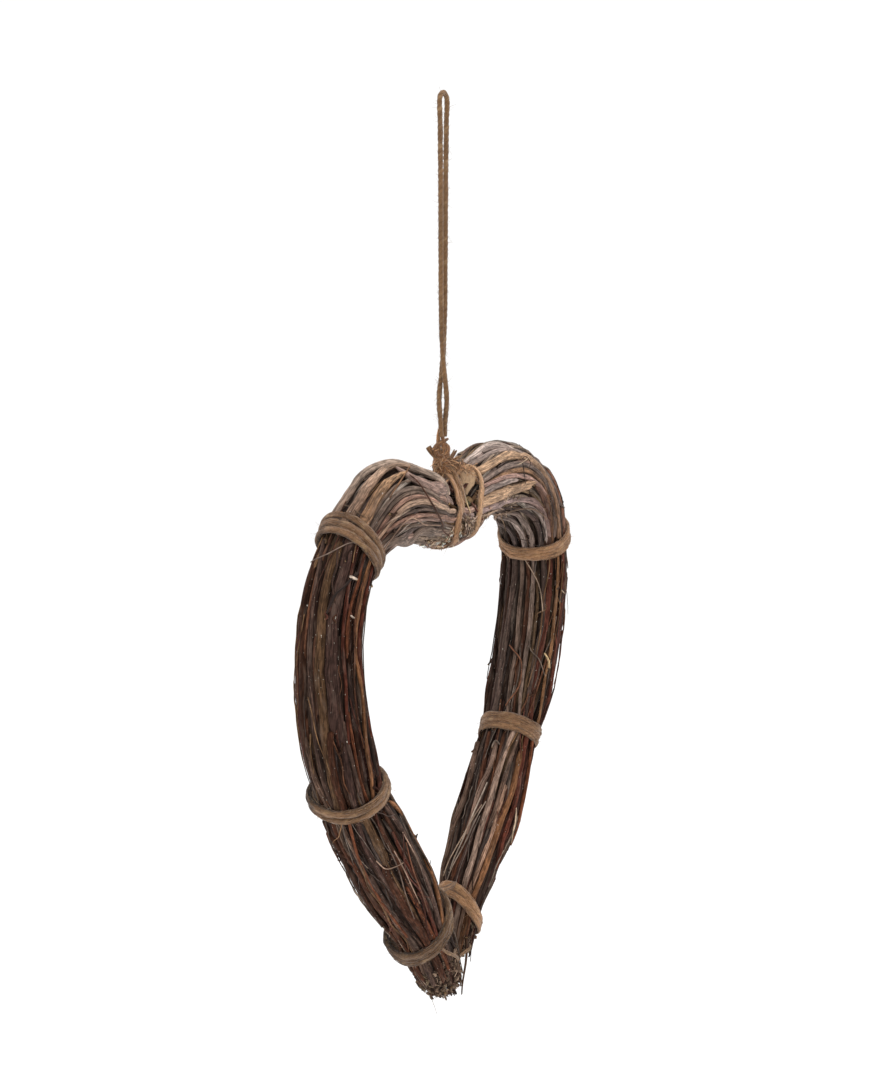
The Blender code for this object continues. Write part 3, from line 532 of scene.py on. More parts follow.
class Bundle:
    """One side's bundle: its middle line, its thickness and the frame at each place along it."""

    def __init__(self, side, name, line, halves, bindings):
        place, at = smooth_curve(line)
        self.side = side
        self.name = name
        self.lobe_end = LOBE_END[name]
        self.bindings = bindings
        self.length = float(at[-1])
        s = np.linspace(0.0, self.length, 900)
        flat = place(s)
        way = np.gradient(flat, s, axis=0)
        neck = np.clip(1.0 - s / NECK_RUN, 0.0, 1.0)[:, None]
        way = unit(unit(way) * (1 - neck) + np.array([1.0, 0.0]) * neck)
        zero = np.zeros_like(s)
        centre = np.stack([side * flat[:, 0], zero, HEART_TOP + flat[:, 1]], axis=1)
        along = np.stack([side * way[:, 0], zero, way[:, 1]], axis=1)
        out = np.stack([-side * way[:, 1], zero, way[:, 0]], axis=1)
        i = np.clip(np.searchsorted(at, s) - 1, 0, len(at) - 2)
        t = ease(0.0, 1.0, (s - at[i]) / (at[i + 1] - at[i]))
        halves = np.array(halves)
        half = halves[i] * (1 - t) + halves[i + 1] * t
        for binding in bindings:
            half = half - BINDING_SQUEEZE * np.exp(-((s - binding) / BINDING_REACH) ** 2)
        self.s = s
        self.table = np.column_stack([centre, along, out, half])

    def frame(self, s):
        """Centre, along, out and half thickness at each s. Past an end it runs straight on."""
        s = np.atleast_1d(np.asarray(s, float))
        held = np.clip(s, 0.0, self.length)
        row = np.column_stack([np.interp(held, self.s, column) for column in self.table.T])
        centre, along, out, half = row[:, 0:3], row[:, 3:6], row[:, 6:9], row[:, 9]
        return centre + along * (s - held)[:, None], unit(along), unit(out), half

    def covered(self, s, angle):
        """How much deeper the common twigs lie here, to leave room for the placed ones."""
        centre, _, out, _ = self.frame(s)
        to_camera = unit(CAMERA_AT - centre)
        facing = np.arctan2(to_camera @ FRONT, np.sum(out * to_camera, axis=1))
        turn = np.abs((np.degrees(angle - facing) + 180.0) % 360.0 - 180.0)
        turn = turn - WIDER_COVER[self.name] * (1 - ease(self.lobe_end - 0.03, self.lobe_end, s))
        ends = ease(0.0, COVER_ENDS, s) * (1 - ease(self.length - COVER_ENDS, self.length, s))
        return COVER_DEPTH * (1 - ease(COVER_FULL, COVER_NONE, turn)) * ends

    def point(self, s, angle, lift):
        """Points lifted off the bundle's surface at s and angle, and the way out there."""
        centre, along, out, half = self.frame(s)
        angle = np.asarray(angle, float) * np.ones(len(half))
        radial = out * np.cos(angle)[:, None] + FRONT * np.sin(angle)[:, None]
        return centre + radial * (half + lift)[:, None], radial

    def depth(self, s, points):
        """How far points lie under the bundle's surface, seen from its middle line at s."""
        centre, _, _, half = self.frame(s)
        return half[:, None] - np.linalg.norm(points - centre[:, None], axis=2)

class Sight:
    """Where each place of a bundle's surface shows in the photograph."""

    def __init__(self, bundle):
        s = np.linspace(0.0, bundle.length, 700)
        angle = np.radians(np.arange(0.0, 360.0, 1.5))
        self.s = np.repeat(s, len(angle))
        self.angle = np.tile(angle, len(s))
        points, radial = bundle.point(self.s, self.angle, 0.0)
        away = points - CAMERA_AT
        deep = away @ CAMERA_FORWARD
        self.x = PICTURE[0] / 2 + FOCAL * (away @ CAMERA_RIGHT) / deep
        self.y = PICTURE[1] / 2 - FOCAL * (away @ CAMERA_UP) / deep
        self.hidden = np.sum(radial * away, axis=1) > -0.02

    def find(self, x, y):
        """s and angle of the surface that shows at a pixel."""
        miss = (self.x - x) ** 2 + (self.y - y) ** 2 + 1e6 * self.hidden
        best = int(np.argmin(miss))
        return self.s[best], self.angle[best]

    def route(self, marks):
        """s and angle at each mark: a pixel, or s and an angle in degrees where it is hidden."""
        found = [self.find(*m) if m[0] > 1.0 else (m[0], math.radians(m[1])) for m in marks]
        s, angle = np.array(found).T
        return s, np.unwrap(angle)


def pixel_point(x, y, toward=0.0):
    """The point at a pixel in the upright plane through the hanging loop, moved to the camera."""
    ray = (CAMERA_FORWARD + CAMERA_RIGHT * (x - PICTURE[0] / 2) / FOCAL
           - CAMERA_UP * (y - PICTURE[1] / 2) / FOCAL)
    level = np.array([CAMERA_FORWARD[0], CAMERA_FORWARD[1], 0.0])
    ray = unit(ray)
    reach = -(CAMERA_AT @ level) / (ray @ level)
    return CAMERA_AT + ray * (reach - toward)

def twig_angle(k, s):
    """Where thick twig k lies round its bundle, as in the solids."""
    even = 2 * math.pi * k / TWIGS_PER_SIDE
    return even + 0.028 * math.sin(1.9 * k) + 0.024 * np.sin(17.0 * s + 2.4 * k)


def twig_half(k, half):
    """Radius of thick twig k, as in the solids: a share of its even spacing."""
    share = 0.26 + 0.035 * math.sin(2.7 * k + 0.6)
    return share * 2 * math.pi * half / TWIGS_PER_SIDE


def twig_ends(bundle, k):
    start = 0.0025 + 0.0095 * (1 + math.sin(4.1 * k + 1.0))
    stop = bundle.length - 0.0015 - 0.0100 * (1 + math.sin(5.3 * k + 0.4))
    return start, stop

class Mesh:
    """Gathers tubes into one mesh. Each point has a tint, and its place in the straight grain."""

    def __init__(self):
        self.points = []
        self.faces = []
        self.tints = []
        self.grains = []
        self.count = 0

    def add(self, points, tints, grains, faces):
        self.points.append(points.reshape(-1, 3))
        self.tints.append(np.broadcast_to(tints, points.shape).reshape(-1, 3))
        self.grains.append(grains.reshape(-1, 3))
        self.faces += [tuple(int(v) + self.count for v in face) for face in faces]
        self.count += points.size // 3

    def build(self, name, look):
        mesh = bpy.data.meshes.new(name)
        mesh.from_pydata(np.concatenate(self.points).tolist(), [], self.faces)
        tints = np.concatenate(self.tints)
        rows = np.column_stack([tints, np.ones(len(tints))]).astype(np.float32)
        mesh.attributes.new("tint", "FLOAT_COLOR", "POINT").data.foreach_set("color", rows.ravel())
        grains = np.concatenate(self.grains).astype(np.float32)
        mesh.attributes.new("grain", "FLOAT_VECTOR", "POINT").data.foreach_set("vector", grains.ravel())
        mesh.shade_smooth()
        mesh.materials.append(look)
        made = bpy.data.objects.new(name, mesh)
        bpy.context.scene.collection.objects.link(made)
        return made


def transport(points):
    """A sideways direction for each point of a free line, carried along without twist."""
    way = unit(np.gradient(points, axis=0))
    first = np.array([0.0, 1.0, 0.0]) if abs(way[0][1]) < 0.8 else np.array([1.0, 0.0, 0.0])
    normals = np.zeros_like(points)
    normals[0] = unit(first - way[0] * (first @ way[0]))
    for i in range(1, len(points)):
        held = normals[i - 1] - way[i] * (normals[i - 1] @ way[i])
        normals[i] = unit(held)
    return normals


def tube(mesh, points, radii, normals, tints, seed, sides=10, relief=None, flat=1.0, spin=0.0,
         ends=("cut", "cut"), under=None):
    """A tube along the points. flat is its thickness along the normals by its width.

    tints is a colour, or one for each ring, or for each ring and side. relief is a share of the
    radius for each ring and side, spin turns the grain on the way, and an end is cut flat, round,
    tapered or torn. under is a bundle and the way along it at each point:
    what lies deep in it is darkened as painted shade.
    """
    way = unit(np.gradient(points, axis=0))
    normals = unit(normals - way * np.sum(normals * way, axis=1, keepdims=True))
    across = np.cross(way, normals)
    at = np.concatenate([[0.0], np.cumsum(np.linalg.norm(np.diff(points, axis=0), axis=1))])
    radii = np.broadcast_to(np.asarray(radii, float), (len(points),)).copy()
    turn = 2 * math.pi * np.arange(sides) / sides
    reach = radii[:, None] * (np.ones((1, sides)) if relief is None else 1 + relief)
    high = reach * np.cos(turn) * flat
    wide = reach * np.sin(turn)
    rings = points[:, None] + normals[:, None] * high[..., None] + across[:, None] * wide[..., None]
    rng = np.random.default_rng(seed)
    tints = np.asarray(tints, float)
    if tints.ndim < 3:
        tints = np.broadcast_to(tints, (len(points), 3))[:, None]
    colour = np.repeat(tints, sides // tints.shape[1], axis=1)
    if under is not None:
        bundle, s = under
        # Painted shade: what lies deep under the bundle's surface is darkened
        deep = np.clip((bundle.depth(s, rings) - UNSHADED_DEPTH) / DARK_DEPTH, 0.0, 1.0)
        colour = colour * (1 - DARKEST * deep ** 0.7)[..., None]
    shift = rng.uniform(-1.0, 1.0, 3)
    twist = turn[None, :] + spin * at[:, None]
    grain = np.stack([radii[:, None] * np.cos(twist), radii[:, None] * np.sin(twist),
                      np.repeat(at[:, None], sides, axis=1)], axis=2) + shift
    for end, last, inward in ((ends[0], 0, 1), (ends[1], -1, -1)):
        outward = way[last] * -inward
        if end == "torn":
            rings[last] += outward * rng.uniform(-0.6, 2.2, sides)[:, None] * radii[last]
    rows = [rings]
    colours = [colour]
    grains = [grain]
    for end, last, inward in ((ends[0], 0, 1), (ends[1], -1, -1)):
        outward = way[last] * -inward
        steps = {"round": [(0.45, 0.86), (0.78, 0.55)], "taper": [(2.5, 0.45)]}.get(end, [])
        extra = []
        for forward, share in steps:
            ring = points[last] + (rings[last] - points[last]) * share
            extra.append(ring + outward * forward * radii[last])
        if extra:
            extra = np.array(extra)
            more = np.repeat(colour[last][None], len(extra), axis=0)
            place = np.repeat(grain[last][None], len(extra), axis=0)
            if last == 0:
                rows.insert(0, extra[::-1])
                colours.insert(0, more)
                grains.insert(0, place)
            else:
                rows.append(extra)
                colours.append(more)
                grains.append(place)
    rings = np.concatenate(rows)
    colour = np.concatenate(colours)
    grain = np.concatenate(grains)
    count = len(rings)
    row, side = np.meshgrid(np.arange(count - 1), np.arange(sides), indexing="ij")
    after = (side + 1) % sides
    quads = np.stack([row * sides + side, row * sides + after, (row + 1) * sides + after,
                      (row + 1) * sides + side], axis=-1).reshape(-1, 4)
    mesh.add(rings, colour, grain, quads)
    for end, last, inward in ((ends[0], 0, 1), (ends[1], -1, -1)):
        ring = rings[last]
        middle = ring.mean(axis=0)
        wood = CUT_WOOD * rng.uniform(0.6, 1.1) if end in ("cut", "torn") else colour[last][0]
        dent = way[last] * inward * (radii[last] * 0.6 if end == "torn" else 0.0)
        cap = np.concatenate([ring, [middle + dent]])
        fan = [(j, sides, (j + 1) % sides) if last == 0 else (j, (j + 1) % sides, sides)
               for j in range(sides)]
        spot = np.concatenate([grain[last], [grain[last].mean(axis=0)]])
        mesh.add(cap, wood, spot, fan)

def bark_relief(rng, s, sides, strength):
    """Lengthwise ridges, lumps and bud scars of a twig's bark, as shares of its radius."""
    turn = 2 * math.pi * np.arange(sides)[None, :] / sides
    relief = np.zeros((len(s), sides))
    for ridges in (2, 3, 5):
        swing = wobble(rng, s, 0.08, 0.9)[:, None]
        size = strength * (0.5 + 0.5 * np.sin(wobble(rng, s, 0.05, 1.5)))[:, None]
        relief += size * np.sin(ridges * turn + swing + rng.uniform(0, 6.3))
    relief += wobble(rng, s, 0.018, strength * 0.8)[:, None]
    place = s[0] + rng.uniform(0.01, 0.05)
    while place < s[-1]:
        lump = np.exp(-((s - place) / rng.uniform(0.0012, 0.003)) ** 2)[:, None]
        side = np.exp(2.5 * (np.cos(turn - rng.uniform(0, 2 * math.pi)) - 1))
        relief += rng.uniform(0.08, 0.3) * lump * side
        place += rng.uniform(0.02, 0.07)
    return relief


def mottled(rng, s, colour, strength=0.16):
    """A twig's colour along its way, lighter and darker in long patches."""
    shade = 1.0 + wobble(rng, s, 0.06, strength)
    return np.clip(colour * shade[:, None], 0.002, 0.9)


def pick(rng, colours):
    return colours[int(rng.integers(len(colours)))] * rng.uniform(0.8, 1.2)


def bark_tints(rng, bundle, s, limb, lobe):
    """Colour along a twig: the lobe's pale bark turns into the limb's dark bark."""
    low = bundle.lobe_end - 0.025
    share = ease(low, low + 0.045, s + wobble(rng, s, 0.04, 0.008))
    return mottled(rng, s, lobe * (1 - share)[:, None] + limb * share[:, None])


def link(tree, start, end):
    tree.links.new(start, end)


def math_node(tree, operation, first, second):
    node = tree.nodes.new("ShaderNodeMath")
    node.operation = operation
    for socket, value in zip(node.inputs, (first, second)):
        if isinstance(value, (int, float)):
            socket.default_value = value
        else:
            link(tree, value, socket)
    return node.outputs[0]


def grain_noise(tree, grain, around, along, detail=3.0, roughness=0.55):
    """Noise in the straight grain: so many swings a metre round and along the piece."""
    scaled = tree.nodes.new("ShaderNodeVectorMath")
    scaled.operation = "MULTIPLY"
    scaled.inputs[1].default_value = (around, around, along)
    link(tree, grain, scaled.inputs[0])
    noise = tree.nodes.new("ShaderNodeTexNoise")
    noise.inputs["Scale"].default_value = 1.0
    noise.inputs["Detail"].default_value = detail
    noise.inputs["Roughness"].default_value = roughness
    link(tree, scaled.outputs[0], noise.inputs["Vector"])
    return noise.outputs["Fac"]


def spread(tree, value, low, high, to_low, to_high):
    node = tree.nodes.new("ShaderNodeMapRange")
    node.interpolation_type = "SMOOTHSTEP"
    node.inputs["From Min"].default_value = low
    node.inputs["From Max"].default_value = high
    node.inputs["To Min"].default_value = to_low
    node.inputs["To Max"].default_value = to_high
    link(tree, value, node.inputs["Value"])
    return node.outputs["Result"]


def blend_colour(tree, share, first, second, mode="MIX"):
    node = tree.nodes.new("ShaderNodeMix")
    node.data_type = "RGBA"
    node.blend_type = mode
    for socket, value in ((node.inputs[0], share), (node.inputs[6], first), (node.inputs[7], second)):
        if isinstance(value, (int, float)):
            socket.default_value = value
        elif isinstance(value, tuple):
            socket.default_value = (*value, 1.0)
        else:
            link(tree, value, socket)
    return node.outputs[2]


def grained(name):
    """A new material with its shader, tint and grain sockets."""
    made = bpy.data.materials.new(name)
    made.use_nodes = True
    tree = made.node_tree
    shader = tree.nodes["Principled BSDF"]
    tint = tree.nodes.new("ShaderNodeAttribute")
    tint.attribute_name = "tint"
    grain = tree.nodes.new("ShaderNodeAttribute")
    grain.attribute_name = "grain"
    return made, tree, shader, tint.outputs["Color"], grain.outputs["Vector"]


def add_bump(tree, shader, height, strength, distance):
    bump = tree.nodes.new("ShaderNodeBump")
    bump.inputs["Strength"].default_value = strength
    bump.inputs["Distance"].default_value = distance
    link(tree, height, bump.inputs["Height"])
    link(tree, bump.outputs["Normal"], shader.inputs["Normal"])


def bark_material(name, dust, specks, shine):
    """Dry bark: lengthwise streaks, short blotches, dark cracks, grey dust and pale flecks."""
    made, tree, shader, tint, grain = grained(name)
    streak = grain_noise(tree, grain, 1500.0, 60.0, 4.0)
    crack = grain_noise(tree, grain, 2300.0, 95.0, 2.0)
    patch = grain_noise(tree, grain, 260.0, 55.0, 3.0)
    fleck = grain_noise(tree, grain, 900.0, 520.0, 2.0)
    blotch = grain_noise(tree, grain, 620.0, 230.0, 4.0, 0.62)
    gain = spread(tree, streak, 0.32, 0.68, 0.52, 1.50)
    colour = blend_colour(tree, 1.0, tint, gain, "MULTIPLY")
    colour = blend_colour(tree, 1.0, colour, spread(tree, blotch, 0.3, 0.7, 0.62, 1.42), "MULTIPLY")
    grey = spread(tree, patch, 0.5, 0.72, 0.0, dust)
    colour = blend_colour(tree, grey, colour, tuple(rgb(132, 114, 102)))
    dark = spread(tree, crack, 0.33, 0.43, 0.72, 0.0)
    colour = blend_colour(tree, dark, colour, tuple(rgb(30, 21, 17)))
    white = spread(tree, fleck, 0.70, 0.76, 0.0, specks)
    colour = blend_colour(tree, white, colour, tuple(rgb(206, 196, 182)))
    link(tree, colour, shader.inputs["Base Color"])
    link(tree, spread(tree, patch, 0.35, 0.7, 0.68, 0.92), shader.inputs["Roughness"])
    shader.inputs["Specular IOR Level"].default_value = shine
    relief = math_node(tree, "MULTIPLY", spread(tree, crack, 0.3, 0.5, 0.0, 1.0), 0.6)
    height = math_node(tree, "ADD", relief, math_node(tree, "MULTIPLY", streak, 0.7))
    add_bump(tree, shader, height, 0.8, 0.0005)
    return made


def jute_material():
    """Natural jute: matt twisted fibres, pale on top as painted highlight and dark in between as painted shade,
    with a soft sheen.
    """
    made, tree, shader, tint, grain = grained("natural_jute")
    fibre = grain_noise(tree, grain, 3000.0, 420.0, 4.0, 0.65)
    clump = grain_noise(tree, grain, 900.0, 240.0, 2.0)
    patch = grain_noise(tree, grain, 240.0, 200.0, 2.0)
    # Fibre streaks, lighter where the bump stands high: painted highlight on top of the fibres
    gain = spread(tree, fibre, 0.3, 0.7, 0.55, 1.45)
    colour = blend_colour(tree, 1.0, tint, gain, "MULTIPLY")
    # Dark brown where the clumps lie low: painted shade between the fibres
    deep = spread(tree, clump, 0.3, 0.46, 0.55, 0.0)
    colour = blend_colour(tree, deep, colour, tuple(rgb(84, 58, 36)))
    pale = spread(tree, patch, 0.52, 0.75, 0.0, 0.4)
    colour = blend_colour(tree, pale, colour, tuple(rgb(186, 154, 114)))
    link(tree, colour, shader.inputs["Base Color"])
    shader.inputs["Roughness"].default_value = 0.92
    shader.inputs["Specular IOR Level"].default_value = 0.15
    shader.inputs["Sheen Weight"].default_value = 0.25
    shader.inputs["Sheen Roughness"].default_value = 0.5
    height = math_node(tree, "ADD", fibre, math_node(tree, "MULTIPLY", clump, 1.2))
    add_bump(tree, shader, height, 0.9, 0.0006)
    return made


def wood_material():
    """Bare split wood: fine straight fibres, ochre and tan."""
    made, tree, shader, tint, grain = grained("bare_split_wood")
    fibre = grain_noise(tree, grain, 2600.0, 70.0, 4.0)
    gain = spread(tree, fibre, 0.3, 0.7, 0.66, 1.3)
    link(tree, blend_colour(tree, 1.0, tint, gain, "MULTIPLY"), shader.inputs["Base Color"])
    shader.inputs["Roughness"].default_value = 0.8
    shader.inputs["Specular IOR Level"].default_value = 0.25
    add_bump(tree, shader, fibre, 0.6, 0.0004)
    return made


def place_piece(mesh, name, look, slot, *nodes):
    """Makes the gathered mesh a piece of the object, which stands for those nodes."""
    piece = mesh.build(name, look)
    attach(piece, "root")
    if nodes:
        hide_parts(*nodes)
    return piece

def travelled(points):
    """The distance along a line of points at each of them."""
    return np.concatenate([[0.0], np.cumsum(np.linalg.norm(np.diff(points, axis=0), axis=1))])


def any_seed(rng):
    return int(rng.integers(1 << 30))


def surface_line(bundle, sight, marks, reach, stop=None):
    """s and angle along a smooth line over a bundle through the marks, and straight on past them."""
    s, angle = sight.route(marks)
    place, at = smooth_curve(np.column_stack([s, angle * MEAN_HALF]))
    line = place(np.linspace(0.0, at[-1], max(8, int(at[-1] / STEP))))
    before = np.arange(reach[0], 0.0, -STEP)[:, None]
    after = np.arange(STEP, reach[1], STEP)[:, None]
    line = np.concatenate([line[0] - before * unit(line[1] - line[0]), line,
                           line[-1] + after * unit(line[-1] - line[-2])])
    inside = line[:, 0] > -NECK_OVERLAP
    if stop is not None:
        inside &= line[:, 0] < stop
    line = line[inside]
    return line[:, 0], line[:, 1] / MEAN_HALF


def placed_twig(mesh, seed, bundle, sight, twig, light=(1.0, 1.0, 1.0), onward=0.0):
    """A twig where the photograph shows it. light makes its bark lighter or darker."""
    rng = np.random.default_rng(seed)
    reach = twig.reach
    if twig.ends[1] == "torn":
        reach = (reach[0], reach[1] + onward)
    stop = bundle.length - BARE_END[bundle.name] + rng.uniform(-0.006, 0.004)
    s, angle = surface_line(bundle, sight, twig.marks, reach, stop)
    share = np.linspace(0.0, len(twig.widths) - 1.0, len(s))
    radius = np.interp(share, np.arange(len(twig.widths)), twig.widths) / 2000.0
    rough_at = travelled(bundle.point(s, angle, 0.0)[0])
    radius = radius * (1 + wobble(rng, rough_at, 0.03, 0.045))
    lift = twig.lift - radius * twig.flat + rng.uniform(-0.0003, 0.0003)
    points, radial = bundle.point(s, angle, lift + wobble(rng, rough_at, 0.07, 0.0002))
    at = travelled(points)
    sides = int(np.clip(4 + 2.2 * max(twig.widths), 6, 16))
    tints = mottled(rng, at, BARK[twig.bark] * np.array(light) * rng.uniform(0.88, 1.1), 0.14)
    # Darker towards the binding: painted shade on the right lobe
    amount, run = LOBE_FADE[bundle.name]
    low = bundle.lobe_end - run
    fade = amount * ease(low, bundle.lobe_end - 0.004, s) * (min(s[0], s[-1]) < bundle.lobe_end - 0.034)
    ending = END_FADE[bundle.name] * ease(bundle.length - END_RUN, bundle.length - END_RUN / 2, s)
    tints = tints * (1 - fade[:, None] * FADE_TONE) * (1 - ending)[:, None]
    tube(mesh, points, radius, radial, tints, any_seed(rng), sides,
         bark_relief(rng, at, sides, 0.045), twig.flat, 0.0, twig.ends, (bundle, s))


def placed_twigs(bundle, sight, name, twigs, look, light, onward):
    """One piece of twigs placed by the photograph."""
    made = Mesh()
    for i, twig in enumerate(twigs):
        placed_twig(made, 100 + i, bundle, sight, twig, light, onward)
    return place_piece(made, name, look, "twig_bark")


def thick_twigs(bundle, look):
    """The thick outer twigs, one piece each, where the solids have them."""
    for k in range(TWIGS_PER_SIDE):
        rng = np.random.default_rng(1000 * (2 + bundle.side) + k)
        start, stop = twig_ends(bundle, k)
        s = np.arange(start, stop, STEP)
        on_lobe = 1 - ease(bundle.lobe_end - 0.02, bundle.lobe_end + 0.03, s)
        radius = twig_half(k, bundle.frame(s)[3])
        radius = radius * (rng.uniform(0.84, 1.12) + 0.05 * on_lobe) * (1 + wobble(rng, s, 0.12, 0.07))
        angle = twig_angle(k, s) + wobble(rng, s, 0.14, 0.025)
        sunk = rng.uniform(-0.0003, 0.0009) + bundle.covered(s, angle)
        points, radial = bundle.point(s, angle, -radius - sunk)
        tints = bark_tints(rng, bundle, s, pick(rng, LIMB_BARK), pick(rng, LOBE_BARK))
        made = Mesh()
        tube(made, points, radius, radial, tints, k, 14, bark_relief(rng, s, 14, 0.045),
             ends=("round", "torn"), under=(bundle, s))
        place_piece(made, "%s_bark_twig_%02d" % (bundle.name, k + 1), look, "twig_bark",
                    "%s_twig_%02d" % (bundle.name, k + 1))


def lane_twig(mesh, rng, bundle, angle, radius, start, stop, sunk, palette, sides=7):
    """A twig along a lane of the bundle, so deep under its surface. angle is a function of s."""
    s = np.arange(max(start, NECK_START), stop, max(STEP, radius * 2.6))
    if len(s) < 4:
        return
    t = (s - s[0]) / (s[-1] - s[0])
    size = radius * (1 + rng.uniform(-0.25, 0.25) * (t - 0.5)) * (1 + wobble(rng, s, 0.05, 0.06))
    tucked = 0.0016 * (np.exp(-(s - s[0]) / 0.006) + np.exp(-(s[-1] - s) / 0.006))
    around = angle(s) + wobble(rng, s, 0.1, 0.02)
    lift = wobble(rng, s, 0.07, 0.0004) - sunk(s, around) - size - tucked
    points, radial = bundle.point(s, around, lift)
    tints = bark_tints(rng, bundle, s, pick(rng, palette), pick(rng, LOBE_BARK) * 0.9)
    tube(mesh, points, size, radial, tints, any_seed(rng), sides, bark_relief(rng, s, sides, 0.05),
         ends=(rng.choice(["round", "cut"]), rng.choice(["taper", "cut", "torn"])), under=(bundle, s))


def gap_twigs(mesh, rng, bundle, k, count, start, stop, palette):
    """Twigs side by side in the gap between thick twigs k and k + 1, each lane in a few lengths."""
    pitch = 2 * math.pi / TWIGS_PER_SIDE
    room = pitch * MEAN_HALF * 0.46
    for lane in range(count):
        offset = ((lane + 0.5) / count - 0.5) * pitch * 0.52 + rng.uniform(-0.03, 0.03)
        radius = min(room / count * 0.5 * rng.uniform(0.92, 1.18), 0.0027)
        low = start
        while low < stop:
            high = min(low + rng.uniform(0.07, 0.26), stop)
            drift = rng.uniform(-0.5, 0.5)
            depth = rng.uniform(-0.0004, 0.0022)

            def angle(s):
                return twig_angle(k, s) + pitch / 2 + offset + drift * (s - (low + high) / 2)

            def sunk(s, around):
                return depth + bundle.covered(s, around)

            lane_twig(mesh, rng, bundle, angle, radius * rng.uniform(0.85, 1.1),
                      low - rng.uniform(0.004, 0.012), high, sunk, palette)
            low = high


def brushwood(bundle, look):
    """The fine twigs: between the thick ones, and in layers under them down to the middle."""
    rng = np.random.default_rng(70 + bundle.side)
    made = Mesh()
    for k in range(TWIGS_PER_SIDE):
        gap_twigs(made, rng, bundle, k, 1, NECK_START, bundle.lobe_end + rng.uniform(0.0, 0.04),
                  LOBE_BARK)
        gap_twigs(made, rng, bundle, k, int(rng.choice([1, 2, 2, 3])),
                  bundle.lobe_end - rng.uniform(0.0, 0.03), bundle.length - rng.uniform(0.0, 0.016),
                  LIMB_BARK + FINE_BARK)
    for count, reach, step in ((24, 0.78, 0.008), (14, 0.5, 0.012), (6, 0.2, 0.014)):
        for j in range(count):
            around = 2 * math.pi * (j + rng.uniform(0.3, 0.7)) / count
            s = np.arange(NECK_START + rng.uniform(0.0, 0.01),
                          bundle.length - rng.uniform(0.0, 0.012), step)
            half = bundle.frame(s)[3]
            size = half * reach * 2 * math.pi / count * 0.53 * (1 + wobble(rng, s, 0.09, 0.08))
            angle = around + wobble(rng, s, 0.15, 0.06)
            points, radial = bundle.point(s, angle, half * (reach - 1) + wobble(rng, s, 0.1, 0.0005))
            tints = bark_tints(rng, bundle, s, pick(rng, DEEP_BARK), pick(rng, DEEP_BARK))
            tube(made, points, size, radial, tints, j, 6, bark_relief(rng, s, 6, 0.03),
                 ends=("cut", "torn"))
    return place_piece(made, bundle.name + "_brushwood", look, "fine_bark",
                       bundle.name + "_fine_twigs")


def filler_twigs(bundle, look):
    """Fine twigs between and under the placed ones."""
    rng = np.random.default_rng(80 + bundle.side)
    made = Mesh()
    for lane in range(FILLER_LANES):
        middle = 2 * math.pi * (lane + rng.uniform(0.2, 0.8)) / FILLER_LANES
        low = rng.uniform(-0.05, 0.02)
        while low < bundle.length - 0.02:
            high = low + rng.uniform(0.05, 0.18)
            drift = rng.uniform(-0.9, 0.9)
            depth = rng.uniform(0.0004, 0.0024)
            if bundle.covered((low + high) / 2, middle) > COVER_DEPTH / 2:
                lane_twig(made, rng, bundle, lambda s: middle + drift * (s - low),
                          rng.uniform(0.0009, 0.0021), low, min(high, bundle.length),
                          lambda s, around: depth, FINE_BARK + LIMB_BARK)
            low = high - rng.uniform(0.0, 0.02)
    return place_piece(made, bundle.name + "_filler_twigs", look, "fine_bark")


def surface_piece(mesh, rng, bundle, s, angle, length, lean, radius, lift, rise, tint, ends,
                  sides=5, steps=14):
    """A short twig or fibre that leaves a place on the bundle, leaning round it and rising off it."""
    t = np.linspace(0.0, 1.0, steps)
    lift = lift - LOBE_SUNK * (1 - ease(bundle.lobe_end - 0.03, bundle.lobe_end - 0.01, s)) * (abs(length) > 0.004)
    forward = s + length * math.cos(lean) * t
    around = angle + length * math.sin(lean) * t / MEAN_HALF + wobble(rng, t, 0.8, 0.04)
    size = radius * (1.1 - 0.45 * t)
    points, radial = bundle.point(forward, around, lift + rise * t ** 2 + wobble(rng, t, 0.6, 0.0002))
    tube(mesh, points, size, radial, tint, any_seed(rng), sides, ends=ends)


